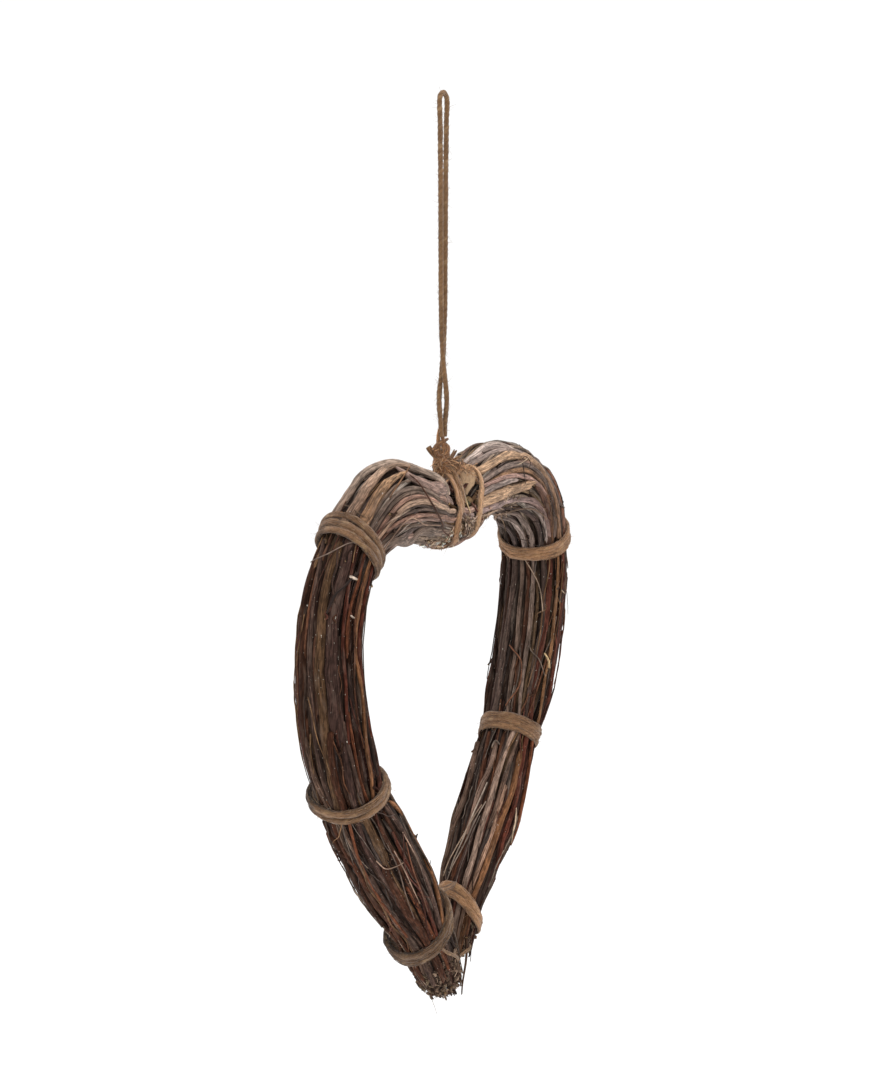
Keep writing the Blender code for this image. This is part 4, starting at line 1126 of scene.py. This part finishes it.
def stray_twigs(bundle, look):
    """Thin twigs that wander over the bundle, cut stubs, and wisps that curl off it."""
    rng = np.random.default_rng(90 + bundle.side)
    made = Mesh()
    for _ in range(16):
        length = rng.uniform(0.04, 0.13)
        s = np.linspace(0.0, length, 40) + rng.uniform(0.01, bundle.length - length - 0.02)
        angle = rng.uniform(0, 2 * math.pi) + rng.uniform(-0.5, 0.5) * (s - s[0]) / length
        angle = angle + wobble(rng, s, 0.06, 0.04)
        radius = rng.uniform(0.0004, 0.0008) * (1.1 - 0.5 * (s - s[0]) / length)
        sunk = LOBE_SUNK * (1 - ease(bundle.lobe_end - 0.03, bundle.lobe_end - 0.01, s))
        points, radial = bundle.point(s, angle, 0.0001 - sunk + np.abs(wobble(rng, s, 0.05, 0.0003)))
        tints = bark_tints(rng, bundle, s, pick(rng, FINE_BARK), pick(rng, LOBE_BARK))
        tube(made, points, radius, radial, tints, any_seed(rng), 6, ends=("taper", "taper"))
    for _ in range(34):
        tint = pick(rng, FINE_BARK + LIMB_BARK)
        surface_piece(made, rng, bundle, rng.uniform(0.02, bundle.length - 0.03),
                      rng.uniform(0, 2 * math.pi), rng.uniform(0.004, 0.012),
                      rng.uniform(-0.7, 0.7), rng.uniform(0.0006, 0.0012), -0.0006,
                      rng.uniform(0.0008, 0.0026), tint, ("round", "cut"), 7)
    for _ in range(30):
        surface_piece(made, rng, bundle, rng.uniform(0.02, bundle.length - 0.02),
                      rng.uniform(0, 2 * math.pi), rng.uniform(0.008, 0.03) * rng.choice([-1.0, 1.0]),
                      rng.uniform(-0.8, 0.8), rng.uniform(0.0002, 0.0004), 0.0,
                      rng.uniform(0.0003, 0.0022), pick(rng, FINE_BARK) * rng.uniform(0.9, 1.6),
                      ("cut", "taper"), 4)
    for _ in range(THREADS):
        surface_piece(made, rng, bundle, rng.uniform(0.02, bundle.length - 0.04),
                      rng.uniform(0, 2 * math.pi), rng.uniform(0.02, 0.07), rng.uniform(-0.22, 0.22),
                      rng.uniform(0.0002, 0.00055), rng.uniform(-0.0004, 0.0002), 0.0,
                      pick(rng, THREAD_BARK), ("taper", "taper"), 4, LOOSE_STEPS)
    return place_piece(made, bundle.name + "_stray_twigs", look, "fine_bark")


def bridge_twigs(left, right, look):
    """Twigs that run on from one bundle into the other where they meet at the notch."""
    rng = np.random.default_rng(60)
    made = Mesh()
    for j in range(BRIDGES + HIGH_BRIDGES):
        angle = 2 * math.pi * (j + rng.uniform(0.1, 0.9)) / BRIDGES
        lift = -rng.uniform(0.0012, 0.0034)
        if j >= BRIDGES:
            angle = rng.uniform(-0.9, 0.5)
            lift = rng.uniform(0.0, 0.0055)
        back = np.linspace(rng.uniform(0.014, 0.032), 0.003, 8)
        ahead = np.linspace(0.003, rng.uniform(0.014, 0.032), 8)
        points = np.concatenate([left.point(back, angle, lift)[0],
                                 right.point(ahead, angle + rng.uniform(-0.2, 0.2), lift)[0]])
        place, at = smooth_curve(points)
        points = place(np.linspace(0.0, at[-1], 24))
        radius = rng.uniform(0.0011, 0.0024) * (1 + wobble(rng, np.linspace(0, 1, 24), 0.6, 0.08))
        tint = pick(rng, LOBE_BARK + FINE_BARK) * 0.62
        if j >= BRIDGES:
            tint = pick(rng, FINE_BARK) * 0.8
            radius = radius * 0.5
        tube(made, points, radius, transport(points), tint, any_seed(rng), 10,
             bark_relief(rng, travelled(points), 10, 0.05), ends=("torn", "torn"))
    return place_piece(made, "notch_twigs", look, "fine_bark")


def strand_relief(rng, s, sides, strength):
    """Bunched fibres of a flat jute strand, as shares of its radius."""
    turn = 2 * math.pi * np.arange(sides)[None, :] / sides
    relief = np.zeros((len(s), sides))
    for fibres in (3, 5, 7):
        swing = wobble(rng, s, 0.03, 1.2)[:, None]
        relief += strength * np.sin(fibres * turn + swing + rng.uniform(0, 6.3))
    return relief + wobble(rng, s, 0.012, strength)[:, None]


def add_strand(mesh, rng, points, normals, width, thick, tint=None, ends=("taper", "taper"),
               fuzz=430.0, longest=0.007):
    """A flat strand of jute: its body, fibres that lie along it and fibres that stand off it."""
    at = travelled(points)
    way = unit(np.gradient(points, axis=0))
    across = np.cross(way, normals)
    base = np.broadcast_to(pick(rng, JUTE) if tint is None else tint, (len(points), 3))
    size = width / 2 * (1 + wobble(rng, at, 0.03, 0.07))
    # Painted shade: a strand is darker at its rims and underside than on top, where strands meet
    shade = EDGE_SHADE + (1 - EDGE_SHADE) * np.clip(np.cos(2 * math.pi * np.arange(16) / 16), 0.0, 1.0) ** 0.6
    tints = mottled(rng, at, base, 0.12)[:, None] * shade[None, :, None]
    tube(mesh, points, size, normals, tints, any_seed(rng), 16,
         strand_relief(rng, at, 16, 0.05), thick / width, 60.0, ends)
    for _ in range(int(at[-1] * LYING_FIBRES)):
        length = min(rng.uniform(0.006, 0.026), at[-1] * 0.6)
        where = rng.uniform(0.0, at[-1] - length) + length * np.linspace(0.0, 1.0, 7)
        middle, up, side = (np.stack([np.interp(where, at, c) for c in rows.T], axis=1)
                            for rows in (points, normals, across))
        turn = rng.uniform(0, 2 * math.pi) + rng.uniform(-0.7, 0.7) * np.linspace(0.0, 1.0, 7)
        radius = rng.choice([rng.uniform(0.00008, 0.00016), rng.uniform(0.00018, 0.00034)])
        line = (middle + up * (np.cos(turn) * (thick / 2 + radius * 0.3))[:, None]
                + side * (np.sin(turn) * (width / 2 + radius * 0.3))[:, None])
        own = base[int(np.searchsorted(at, where[3]))]
        tube(mesh, line, radius, up, own * rng.uniform(0.55, 1.5), any_seed(rng), 3,
             ends=("open", "open"))
    add_fuzz(mesh, rng, points, normals, (thick, width), base, fuzz, longest)


def add_fuzz(mesh, rng, points, normals, size, base, fuzz, longest):
    """Loose fibres that stand off a strand: so many a metre. size is its thickness and width."""
    way = unit(np.gradient(points, axis=0))
    across = np.cross(way, normals)
    base = np.broadcast_to(base, (len(points), 3))
    thick, width = size
    for _ in range(int(travelled(points)[-1] * fuzz)):
        i = int(rng.integers(1, len(points) - 1))
        turn = rng.uniform(0, 2 * math.pi)
        off = normals[i] * math.cos(turn) + across[i] * math.sin(turn)
        edge = normals[i] * math.cos(turn) * thick / 2 + across[i] * math.sin(turn) * width / 2
        lean = unit(off * rng.uniform(0.15, 0.9) + way[i] * rng.uniform(-1.3, 1.3)
                    + across[i] * rng.uniform(-0.7, 0.7))
        curl = unit(rng.normal(size=3)) * rng.uniform(0.0, 0.6)
        t = np.linspace(0.0, 1.0, 6)[:, None]
        line = points[i] + edge * 0.9 + (lean * t + curl * t ** 2) * rng.uniform(0.25, 1.0) * longest
        radius = rng.uniform(0.00005, 0.0001)
        tube(mesh, line, radius * (1.1 - 0.7 * t[:, 0]), transport(line),
             base[i] * rng.uniform(0.9, 1.7), any_seed(rng), 3, ends=("open", "open"))


def binding(bundle, node, at, turns, pitch, width, look, seed, tilt, lean, bulge, sag, shade):
    """Turns of flat jute round a bundle. tilt moves them along it round the angle lean, and sag,
    an angle in degrees and a distance, does so near that angle. bulge is an angle, how much
    further they stand off there, and how high they lie elsewhere. Where they stand off, the turns
    are darkened as painted shade, and strands darkened as painted shade fill the space under them."""
    rng = np.random.default_rng(seed)
    made = Mesh()
    full = turns + 0.12
    angle = math.radians(BINDING_START[bundle.name]) + np.linspace(0.0, 2 * math.pi * full, int(110 * full))
    progress = (angle - angle[0]) / (2 * math.pi)
    s = at + pitch * (progress - full / 2) + tilt * np.cos(angle - lean)
    s = s + sag[1] * np.exp((np.cos(angle - math.radians(sag[0])) - 1) * SAG_NARROW)
    s = s + wobble(rng, progress, 0.9, 0.0003) + wobble(rng, progress, 0.25, 0.00015)
    lift = bulge[2] + 0.00025 * np.abs(wobble(rng, progress, 0.2, 1.0))
    toward = np.exp((np.cos(angle - math.radians(bulge[0])) - 1) * BULGE_NARROW)
    points, radial = bundle.point(s, angle, lift + bulge[1] * toward)
    # Where the binding stands off, its turns are darkened as painted shade
    painted_shade = BULGE_PAINTED_SHADE * (bulge[1] > 0.001) * ease(0.25, 0.7, toward)
    tint = pick(rng, JUTE) * shade * (1 - painted_shade)[:, None]
    add_strand(made, rng, points, radial, width, BINDING_THICK + 0.6 * max(bulge[1], 0.0), tint)
    # Strands darkened as painted shade fill the space under a binding that stands off
    if bulge[1] > 0.001:
        stop = math.radians(bulge[0]) + 2 * math.pi
        angle = np.linspace(stop - FILL_TURN, stop + FILL_TURN, 40)
        for offset in (-0.3, 0.3):
            s = at + pitch * turns * offset + tilt * np.cos(angle - lean)
            points, radial = bundle.point(s, angle, bulge[1] * 0.3 - 0.0010)
            add_strand(made, rng, points, radial, width, 0.0042 + 0.6 * bulge[1], JUTE[0] * FILL_SHADE)
    return place_piece(made, node + "_jute", look, "jute_twine", node)


def notch_lashing(bundles, views, node, runs, width, look, seed):
    """A turn of twine round the bundles' ends at the notch. Each run of it names the bundle that
    it lies on, how high in mm, and its marks. A free run has pixels and mm towards the camera."""
    rng = np.random.default_rng(seed)
    line = []
    for side, lift, marks in runs:
        if side == "free":
            line += [pixel_point(x, y, toward / 1000.0) for x, y, toward in marks]
        else:
            s, angle = views[side].route(marks)
            line += list(bundles[side].point(s, angle, lift / 1000.0)[0])
    place, at = smooth_curve(line)
    points = place(np.linspace(0.0, at[-1], int(at[-1] / 0.0012)))
    middle = points.mean(axis=0)
    made = Mesh()
    lowest = points[:, 2].min()
    below = 1 - ease(lowest + 0.001, lowest + 0.008, points[:, 2])
    tint = pick(rng, JUTE) * PALE_JUTE * (1 - LASHING_SHADE * below)[:, None]
    add_strand(made, rng, points, unit(points - middle), width, 0.0026, tint)
    return place_piece(made, node + "_jute", look, "jute_twine", node)


def free_strand(mesh, rng, marks, width, thick, tint=None, ends=("taper", "taper"), fuzz=430.0):
    """A strand through pixels of the photograph, each moved so many mm towards its camera."""
    place, at = smooth_curve([pixel_point(x, y, toward / 1000.0) for x, y, toward in marks])
    points = place(np.linspace(0.0, at[-1], max(8, int(at[-1] / 0.0009))))
    add_strand(mesh, rng, points, transport(points), width, thick, tint, ends, fuzz, 0.005)


def knot(look):
    """The knot above the notch: two strands down its middle, turns round them, the matted lump
    that the strands to the notch leave from, and the cut tail."""
    rng = np.random.default_rng(8)
    made = Mesh()
    for marks, width in KNOT_STRANDS:
        high = sum(mark[1] for mark in marks) / len(marks) < KNOT_MIDDLE
        tint = pick(rng, JUTE) * KNOT_TINT * (KNOT_TOP_LIGHT if high else 1.0)
        free_strand(made, rng, marks, width / 1000.0, width / 1300.0, tint)
    tail = [pixel_point(x, y, toward / 1000.0) for x, y, toward in KNOT_TAIL]
    place, at = smooth_curve(tail)
    points = place(np.linspace(0.0, at[-1], 26))
    add_strand(made, rng, points, transport(points), 0.0040, 0.0036, JUTE[2] * KNOT_TINT,
               ends=("taper", "cut"))
    return place_piece(made, "hanger_knot_jute", look, "jute_twine", "hanger_knot")


def hanging_loop(look):
    """The twine up from the knot, over the nail and down again."""
    route = [
        (0.0052, 0.0000, -0.0036), (0.0050, 0.0000, -0.0090), (0.0042, 0.0000, -0.0250),
        (0.0038, 0.0001, -0.0500), (0.0037, 0.0002, -0.0800), (0.0036, 0.0003, -0.1100),
        (0.0034, 0.0006, -0.1400), (0.0028, 0.0014, -0.1620), (0.0014, 0.0022, -0.1760),
        (-0.0006, 0.0023, -0.1860), (-0.0017, 0.0015, -0.1950), (-0.0020, 0.0006, -0.2030),
        (-0.0020, 0.0002, KNOT_TOP),
    ]
    bend = []
    for turn in (30, 60, 90, 120, 150):
        angle = math.radians(turn)
        bend.append((NAIL_BEND * math.cos(angle), 0.0, NAIL_BEND * math.sin(angle) - NAIL_DROP))
    other = [(-x, -y, z) for x, y, z in route]
    place, at = smooth_curve(route[::-1] + bend + other)
    s = np.linspace(0.0, at[-1], 620)
    points = place(s)
    rng = np.random.default_rng(5)
    sides = 18
    turn = 2 * math.pi * np.arange(sides)[None, :] / sides
    plies = 0.16 * np.abs(np.sin(turn - 2 * math.pi / STRING_LAY * s[:, None])) - 0.1
    relief = plies + strand_relief(rng, s, sides, 0.025)
    made = Mesh()
    radius = TWINE / 2 * (1 + wobble(rng, s, 0.02, 0.05))
    normals = transport(points)
    tube(made, points, radius, normals, mottled(rng, s, STRING, 0.1), 5, sides, relief, 1.0,
         -2 * math.pi / STRING_LAY)
    loop = place_piece(made, "hanging_loop_twine", look, "jute_twine", "hanging_loop")
    fuzz = Mesh()
    add_fuzz(fuzz, rng, points, normals, (TWINE, TWINE), STRING, 1500, 0.005)
    return place_piece(fuzz, "hanging_loop_fibres", look, "jute_twine")


def notch_bits(left, right, views, look, wood):
    """The split wedge, the bits of twig in the notch, a cut end and crumbs of bark and fibre."""
    made = Mesh()
    placed_twig(made, 1, right, views["right"], WEDGE)
    place_piece(made, "ochre_split_wedge", wood, "split_wood", "split_twig")
    rng = np.random.default_rng(21)
    made = Mesh()
    for i, twig in enumerate(NOTCH_BITS):
        placed_twig(made, 40 + i, right, views["right"], twig)
    x, y, radius = CUT_END
    s, angle = views["right"].find(x, y)
    surface, radial = right.point(s, angle, 0.0014)
    points = surface - radial * np.linspace(0.012, 0.0, 8)[:, None]
    tube(made, points, radius, transport(points), rgb(104, 100, 80), 3, 14, ends=("cut", "cut"))
    lines = [(right, "right", marks, 90, 1.35) for marks in DEBRIS_LINES]
    lines += [(left, "left", marks, 100, FLUFF_LIGHT) for marks in LEFT_DEBRIS_LINES]
    for bundle, side, marks, count, light in lines:
        line_s, line_angle = surface_line(bundle, views[side], marks, (0.0, 0.0))
        for _ in range(count):
            i = int(rng.integers(len(line_s)))
            surface_piece(made, rng, bundle, line_s[i] + rng.normal(0.0, 0.0018),
                          line_angle[i] + rng.normal(0.0, 0.07), rng.uniform(0.0012, 0.0062),
                          rng.uniform(0, 2 * math.pi),
                          rng.choice([rng.uniform(0.0001, 0.0002), rng.uniform(0.0003, 0.0006)]),
                          rng.uniform(-0.0006, 0.0014), rng.uniform(0.0, 0.0012),
                          np.clip(pick(rng, DEBRIS) * light * rng.uniform(0.45, 1.1), 0.0, 0.8),
                          ("cut", "taper"), 4, 6)
    return place_piece(made, "notch_debris", look, "fine_bark")


def broken_ends(left, right, look):
    """Under the tip lashing: broken bark and fibres over the bundles' ends, and a long splinter."""
    rng = np.random.default_rng(24)
    made = Mesh()
    for bundle, run, count in ((left, 0.036, 520), (right, 0.024, 150)):
        for j in range(count):
            thick = j % 3 == 0
            radius = rng.uniform(0.0006, 0.0013) if thick else rng.uniform(0.00012, 0.0004)
            angle = math.radians(rng.uniform(-84.0, 136.0)) if j % 4 else rng.uniform(0, 2 * math.pi)
            surface_piece(made, rng, bundle, bundle.length - rng.uniform(0.003, run), angle,
                          rng.uniform(0.0014, 0.0052),
                          rng.uniform(-1.2, 1.2) + math.pi * rng.integers(2), radius,
                          rng.uniform(-0.0012, 0.0) - radius, rng.uniform(-0.0006, 0.0006),
                          pick(rng, END_CRUMBS) * rng.uniform(0.5, 1.7), ("round", "round"), 4, 5)
        for _ in range(60):
            surface_piece(made, rng, bundle, bundle.length - rng.uniform(0.003, 0.012),
                          rng.uniform(0, 2 * math.pi), rng.uniform(0.003, 0.008),
                          rng.uniform(-0.4, 0.4), rng.uniform(0.0007, 0.0015),
                          -rng.uniform(0.0, 0.6) * bundle.frame(bundle.length)[3][0], 0.0,
                          pick(rng, END_CRUMBS) * rng.uniform(0.4, 0.9), ("cut", "cut"), 6, 5)
    start = right.point(right.length - 0.012, math.radians(122.0), -0.0006)[0][0]
    t = np.linspace(0.0, 1.0, 12)
    points = start + np.outer(t, SPLINTER) + CAMERA_RIGHT * (0.0008 * np.sin(5.0 * t))[:, None]
    tube(made, points, 0.0011 - 0.0006 * t, transport(points), BARK["umber"], 9, 7,
         ends=("cut", "taper"))
    return place_piece(made, "broken_twig_ends", look, "fine_bark")


def matted_strands(right, sight, look):
    """Flattened strands from the knot over to the lashing round the right bundle."""
    rng = np.random.default_rng(22)
    made = Mesh()
    for free, marks, width in MATTED:
        line = [pixel_point(x, y, toward / 1000.0) for x, y, toward in free]
        if marks:
            s, angle = sight.route(marks)
            line += list(right.point(s, angle, MATTED_LIFT)[0])
        place, at = smooth_curve(line)
        points = place(np.linspace(0.0, at[-1], 40))
        add_strand(made, rng, points, transport(points), width / 1000.0, width / 1600.0,
                   pick(rng, JUTE) * PALE_JUTE * rng.uniform(0.75, 1.1), fuzz=1200.0)
    for x, y, toward, reach, count in FIBRE_HEAPS:
        middle = pixel_point(x, y, toward / 1000.0)
        for _ in range(count):
            start = middle + rng.normal(size=3) * reach / 2200.0
            way = unit(rng.normal(size=3)) * rng.uniform(0.002, 0.006)
            curl = unit(rng.normal(size=3)) * rng.uniform(0.0, 0.002)
            t = np.linspace(0.0, 1.0, 5)[:, None]
            line = start + way * t + curl * t ** 2
            tube(made, line, rng.uniform(0.0001, 0.00026), transport(line),
                 pick(rng, JUTE) * KNOT_DUST * rng.uniform(0.5, 2.8), any_seed(rng), 3, ends=("open", "open"))
    return place_piece(made, "matted_jute_strands", look, "jute_twine")


def tip_cross(left, right, views, look):
    """The strand of the tip lashing that crosses from one bundle to the other, and the thin one
    that shows between their ends."""
    rng = np.random.default_rng(23)
    ends = []
    for bundle, (s, tilt, lean) in ((left, LEFT_TIP), (right, RIGHT_TIP)):
        ends.append(bundle.point(s + tilt * math.cos(math.pi - lean), math.pi, 0.0024)[0][0])
    start, stop = ends
    middle = (start + stop) / 2 - np.array([0.0, 0.0, 0.002])
    place, at = smooth_curve([start, middle, stop])
    points = place(np.linspace(0.0, at[-1], 30))
    made = Mesh()
    add_strand(made, rng, points, transport(points), 0.0038, 0.0028)
    line = []
    for bundle, own in ((left, slice(0, 3)), (right, slice(3, 5))):
        s, angle = views[bundle.name].route(TIP_THREAD[own])
        line += list(bundle.point(s, angle, TIP_THREAD_LIFT[own])[0])
    place, at = smooth_curve(line)
    points = place(np.linspace(0.0, at[-1], 36))
    add_strand(made, rng, points, transport(points), 0.0017, 0.0014, JUTE[2])
    return place_piece(made, "tip_lashing_strand", look, "jute_twine", "tip_lashing_cross")


def studio():
    """A pale floor, soft light all round and from above."""
    scene = bpy.context.scene
    scene.view_settings.view_transform = "Standard"
    world = bpy.data.worlds.new("studio")
    scene.world = world
    world.use_nodes = True
    background = world.node_tree.nodes["Background"]
    background.inputs["Color"].default_value = (1.0, 1.0, 1.0, 1.0)
    background.inputs["Strength"].default_value = WORLD_LIGHT
    mesh = bpy.data.meshes.new("floor")
    size = 6.0
    height = cad_box[0][2] - FLOOR_DROP
    mesh.from_pydata([(-size, -size, height), (size, -size, height), (size, size, height),
                      (-size, size, height)], [], [(0, 1, 2, 3)])
    look = bpy.data.materials.new("pale_floor")
    look.use_nodes = True
    shader = look.node_tree.nodes["Principled BSDF"]
    shader.inputs["Base Color"].default_value = (0.97, 0.97, 0.97, 1.0)
    shader.inputs["Roughness"].default_value = 0.9
    shader.inputs["Specular IOR Level"].default_value = 0.0
    mesh.materials.append(look)
    floor = bpy.data.objects.new("floor", mesh)
    scene.collection.objects.link(floor)
    light = bpy.data.lights.new("top_light", "AREA")
    light.size = LAMP_SIZE
    light.energy = LAMP_POWER
    lamp = bpy.data.objects.new("top_light", light)
    lamp.location = LAMP_AT
    lamp.rotation_mode = "QUATERNION"
    lamp.rotation_quaternion = (Vector(LAMP_AIM) - Vector(LAMP_AT)).to_track_quat("-Z", "Y")
    scene.collection.objects.link(lamp)


def camera():
    """The photograph's camera: beside and in front of the heart, a little above its middle."""
    data = bpy.data.cameras.new("camera")
    data.sensor_fit = "AUTO"
    data.sensor_width = 36.0
    data.lens = 36.0 * FOCAL / PICTURE[1]
    data.clip_start = 0.05
    cam = bpy.data.objects.new("camera", data)
    rows = np.eye(4)
    rows[:3, 0] = CAMERA_RIGHT
    rows[:3, 1] = CAMERA_UP
    rows[:3, 2] = -CAMERA_FORWARD
    rows[:3, 3] = CAMERA_AT
    cam.matrix_world = Matrix(rows.tolist())
    bpy.context.scene.collection.objects.link(cam)
    bpy.context.scene.camera = cam


def main():
    camera()
    bark = bark_material("dry_bark", 0.35, 0.8, 0.25)
    dark = bark_material("dark_dry_bark", 0.24, 0.9, 0.06)
    fine = bark_material("fine_dry_bark", 0.2, 0.5, 0.08)
    jute = jute_material()
    wood = wood_material()
    hanging_loop(jute)
    left = Bundle(-1, "left", LEFT_LINE, LEFT_HALF, LEFT_BINDINGS)
    right = Bundle(1, "right", RIGHT_LINE, RIGHT_HALF, RIGHT_BINDINGS)
    views = {"left": Sight(left), "right": Sight(right)}
    for bundle in (left, right):
        thick_twigs(bundle, bark)
        brushwood(bundle, fine)
        filler_twigs(bundle, fine)
        stray_twigs(bundle, fine)
    for bundle, name, twigs, light, onward in (
            (left, "left_lobe_twigs", LEFT_LOBE, (0.88, 0.79, 0.73), 0.0),
            (left, "left_limb_twigs", LEFT_LIMB, (0.58, 0.46, 0.41), 0.0),
            (left, "left_foot_twigs", LEFT_FOOT, (0.77, 0.62, 0.56), TO_END),
            (left, "left_loose_twigs", LEFT_STRAYS, (0.8, 0.7, 0.66), 0.0),
            (right, "right_lobe_twigs", RIGHT_LOBE, (1.16, 1.12, 1.16), 0.0),
            (right, "right_limb_twigs", RIGHT_LIMB, (0.68, 0.60, 0.57), 0.0),
            (right, "right_foot_twigs", RIGHT_FOOT, (0.77, 0.62, 0.56), TO_END),
            (right, "right_loose_twigs", RIGHT_STRAYS, (0.9, 0.85, 0.8), 0.0)):
        look = dark if "limb" in name or "foot" in name else bark
        placed_twigs(bundle, views[bundle.name], name, twigs, look, light, onward)
    bridge_twigs(left, right, fine)
    for bundle, node, at, tilts, turns, pitch, width, bulge, sag, shade, seed in (
            (left, "left_upper_binding", left.bindings[0], LEFT_TILTS[0], 3, 0.0041, 0.0048,
             (296.0, 0.0008, 0.0016), (0.0, 0.0), 0.76, 11),
            (left, "left_lower_binding", left.bindings[1], LEFT_TILTS[1], 2, 0.0040, 0.0050,
             (296.0, 0.0022, 0.0016), (0.0, 0.0), 0.74, 12),
            (right, "right_upper_binding", right.bindings[0], RIGHT_TILTS[0], 2, 0.0052, 0.0062,
             (244.0, -0.0016, 0.0016), (0.0, 0.0), 1.36, 13),
            (right, "right_lower_binding", right.bindings[1] + 0.0004, (0.0012, -0.46), 3, 0.0036, 0.0055,
             (244.0, -0.0012, 0.0006), (0.0, 0.0), 1.04, 14),
            (left, "left_tip_lashing", LEFT_TIP[0], LEFT_TIP[1:], 3, 0.0039, 0.0052,
             (296.0, 0.0028, 0.0016), (82.0, 0.0034), 0.55, 17),
            (right, "right_tip_lashing", RIGHT_TIP[0] + 0.0018, (0.0124, 0.34), 2, 0.0044, 0.0052,
             (244.0, 0.0, 0.0016), (0.0, 0.0), 1.44, 18)):
        binding(bundle, node, at, turns, pitch, width, jute, seed, *tilts, bulge, sag, shade)
    bundles = {"left": left, "right": right}
    notch_lashing(bundles, views, "left_notch_lashing", LEFT_LASHING, 0.0044, jute, 15)
    notch_lashing(bundles, views, "right_notch_lashing", RIGHT_LASHING, 0.0048, jute, 16)
    matted_strands(right, views["right"], jute)
    tip_cross(left, right, views, jute)
    notch_bits(left, right, views, fine, wood)
    broken_ends(left, right, fine)
    knot(jute)
    studio()


main()
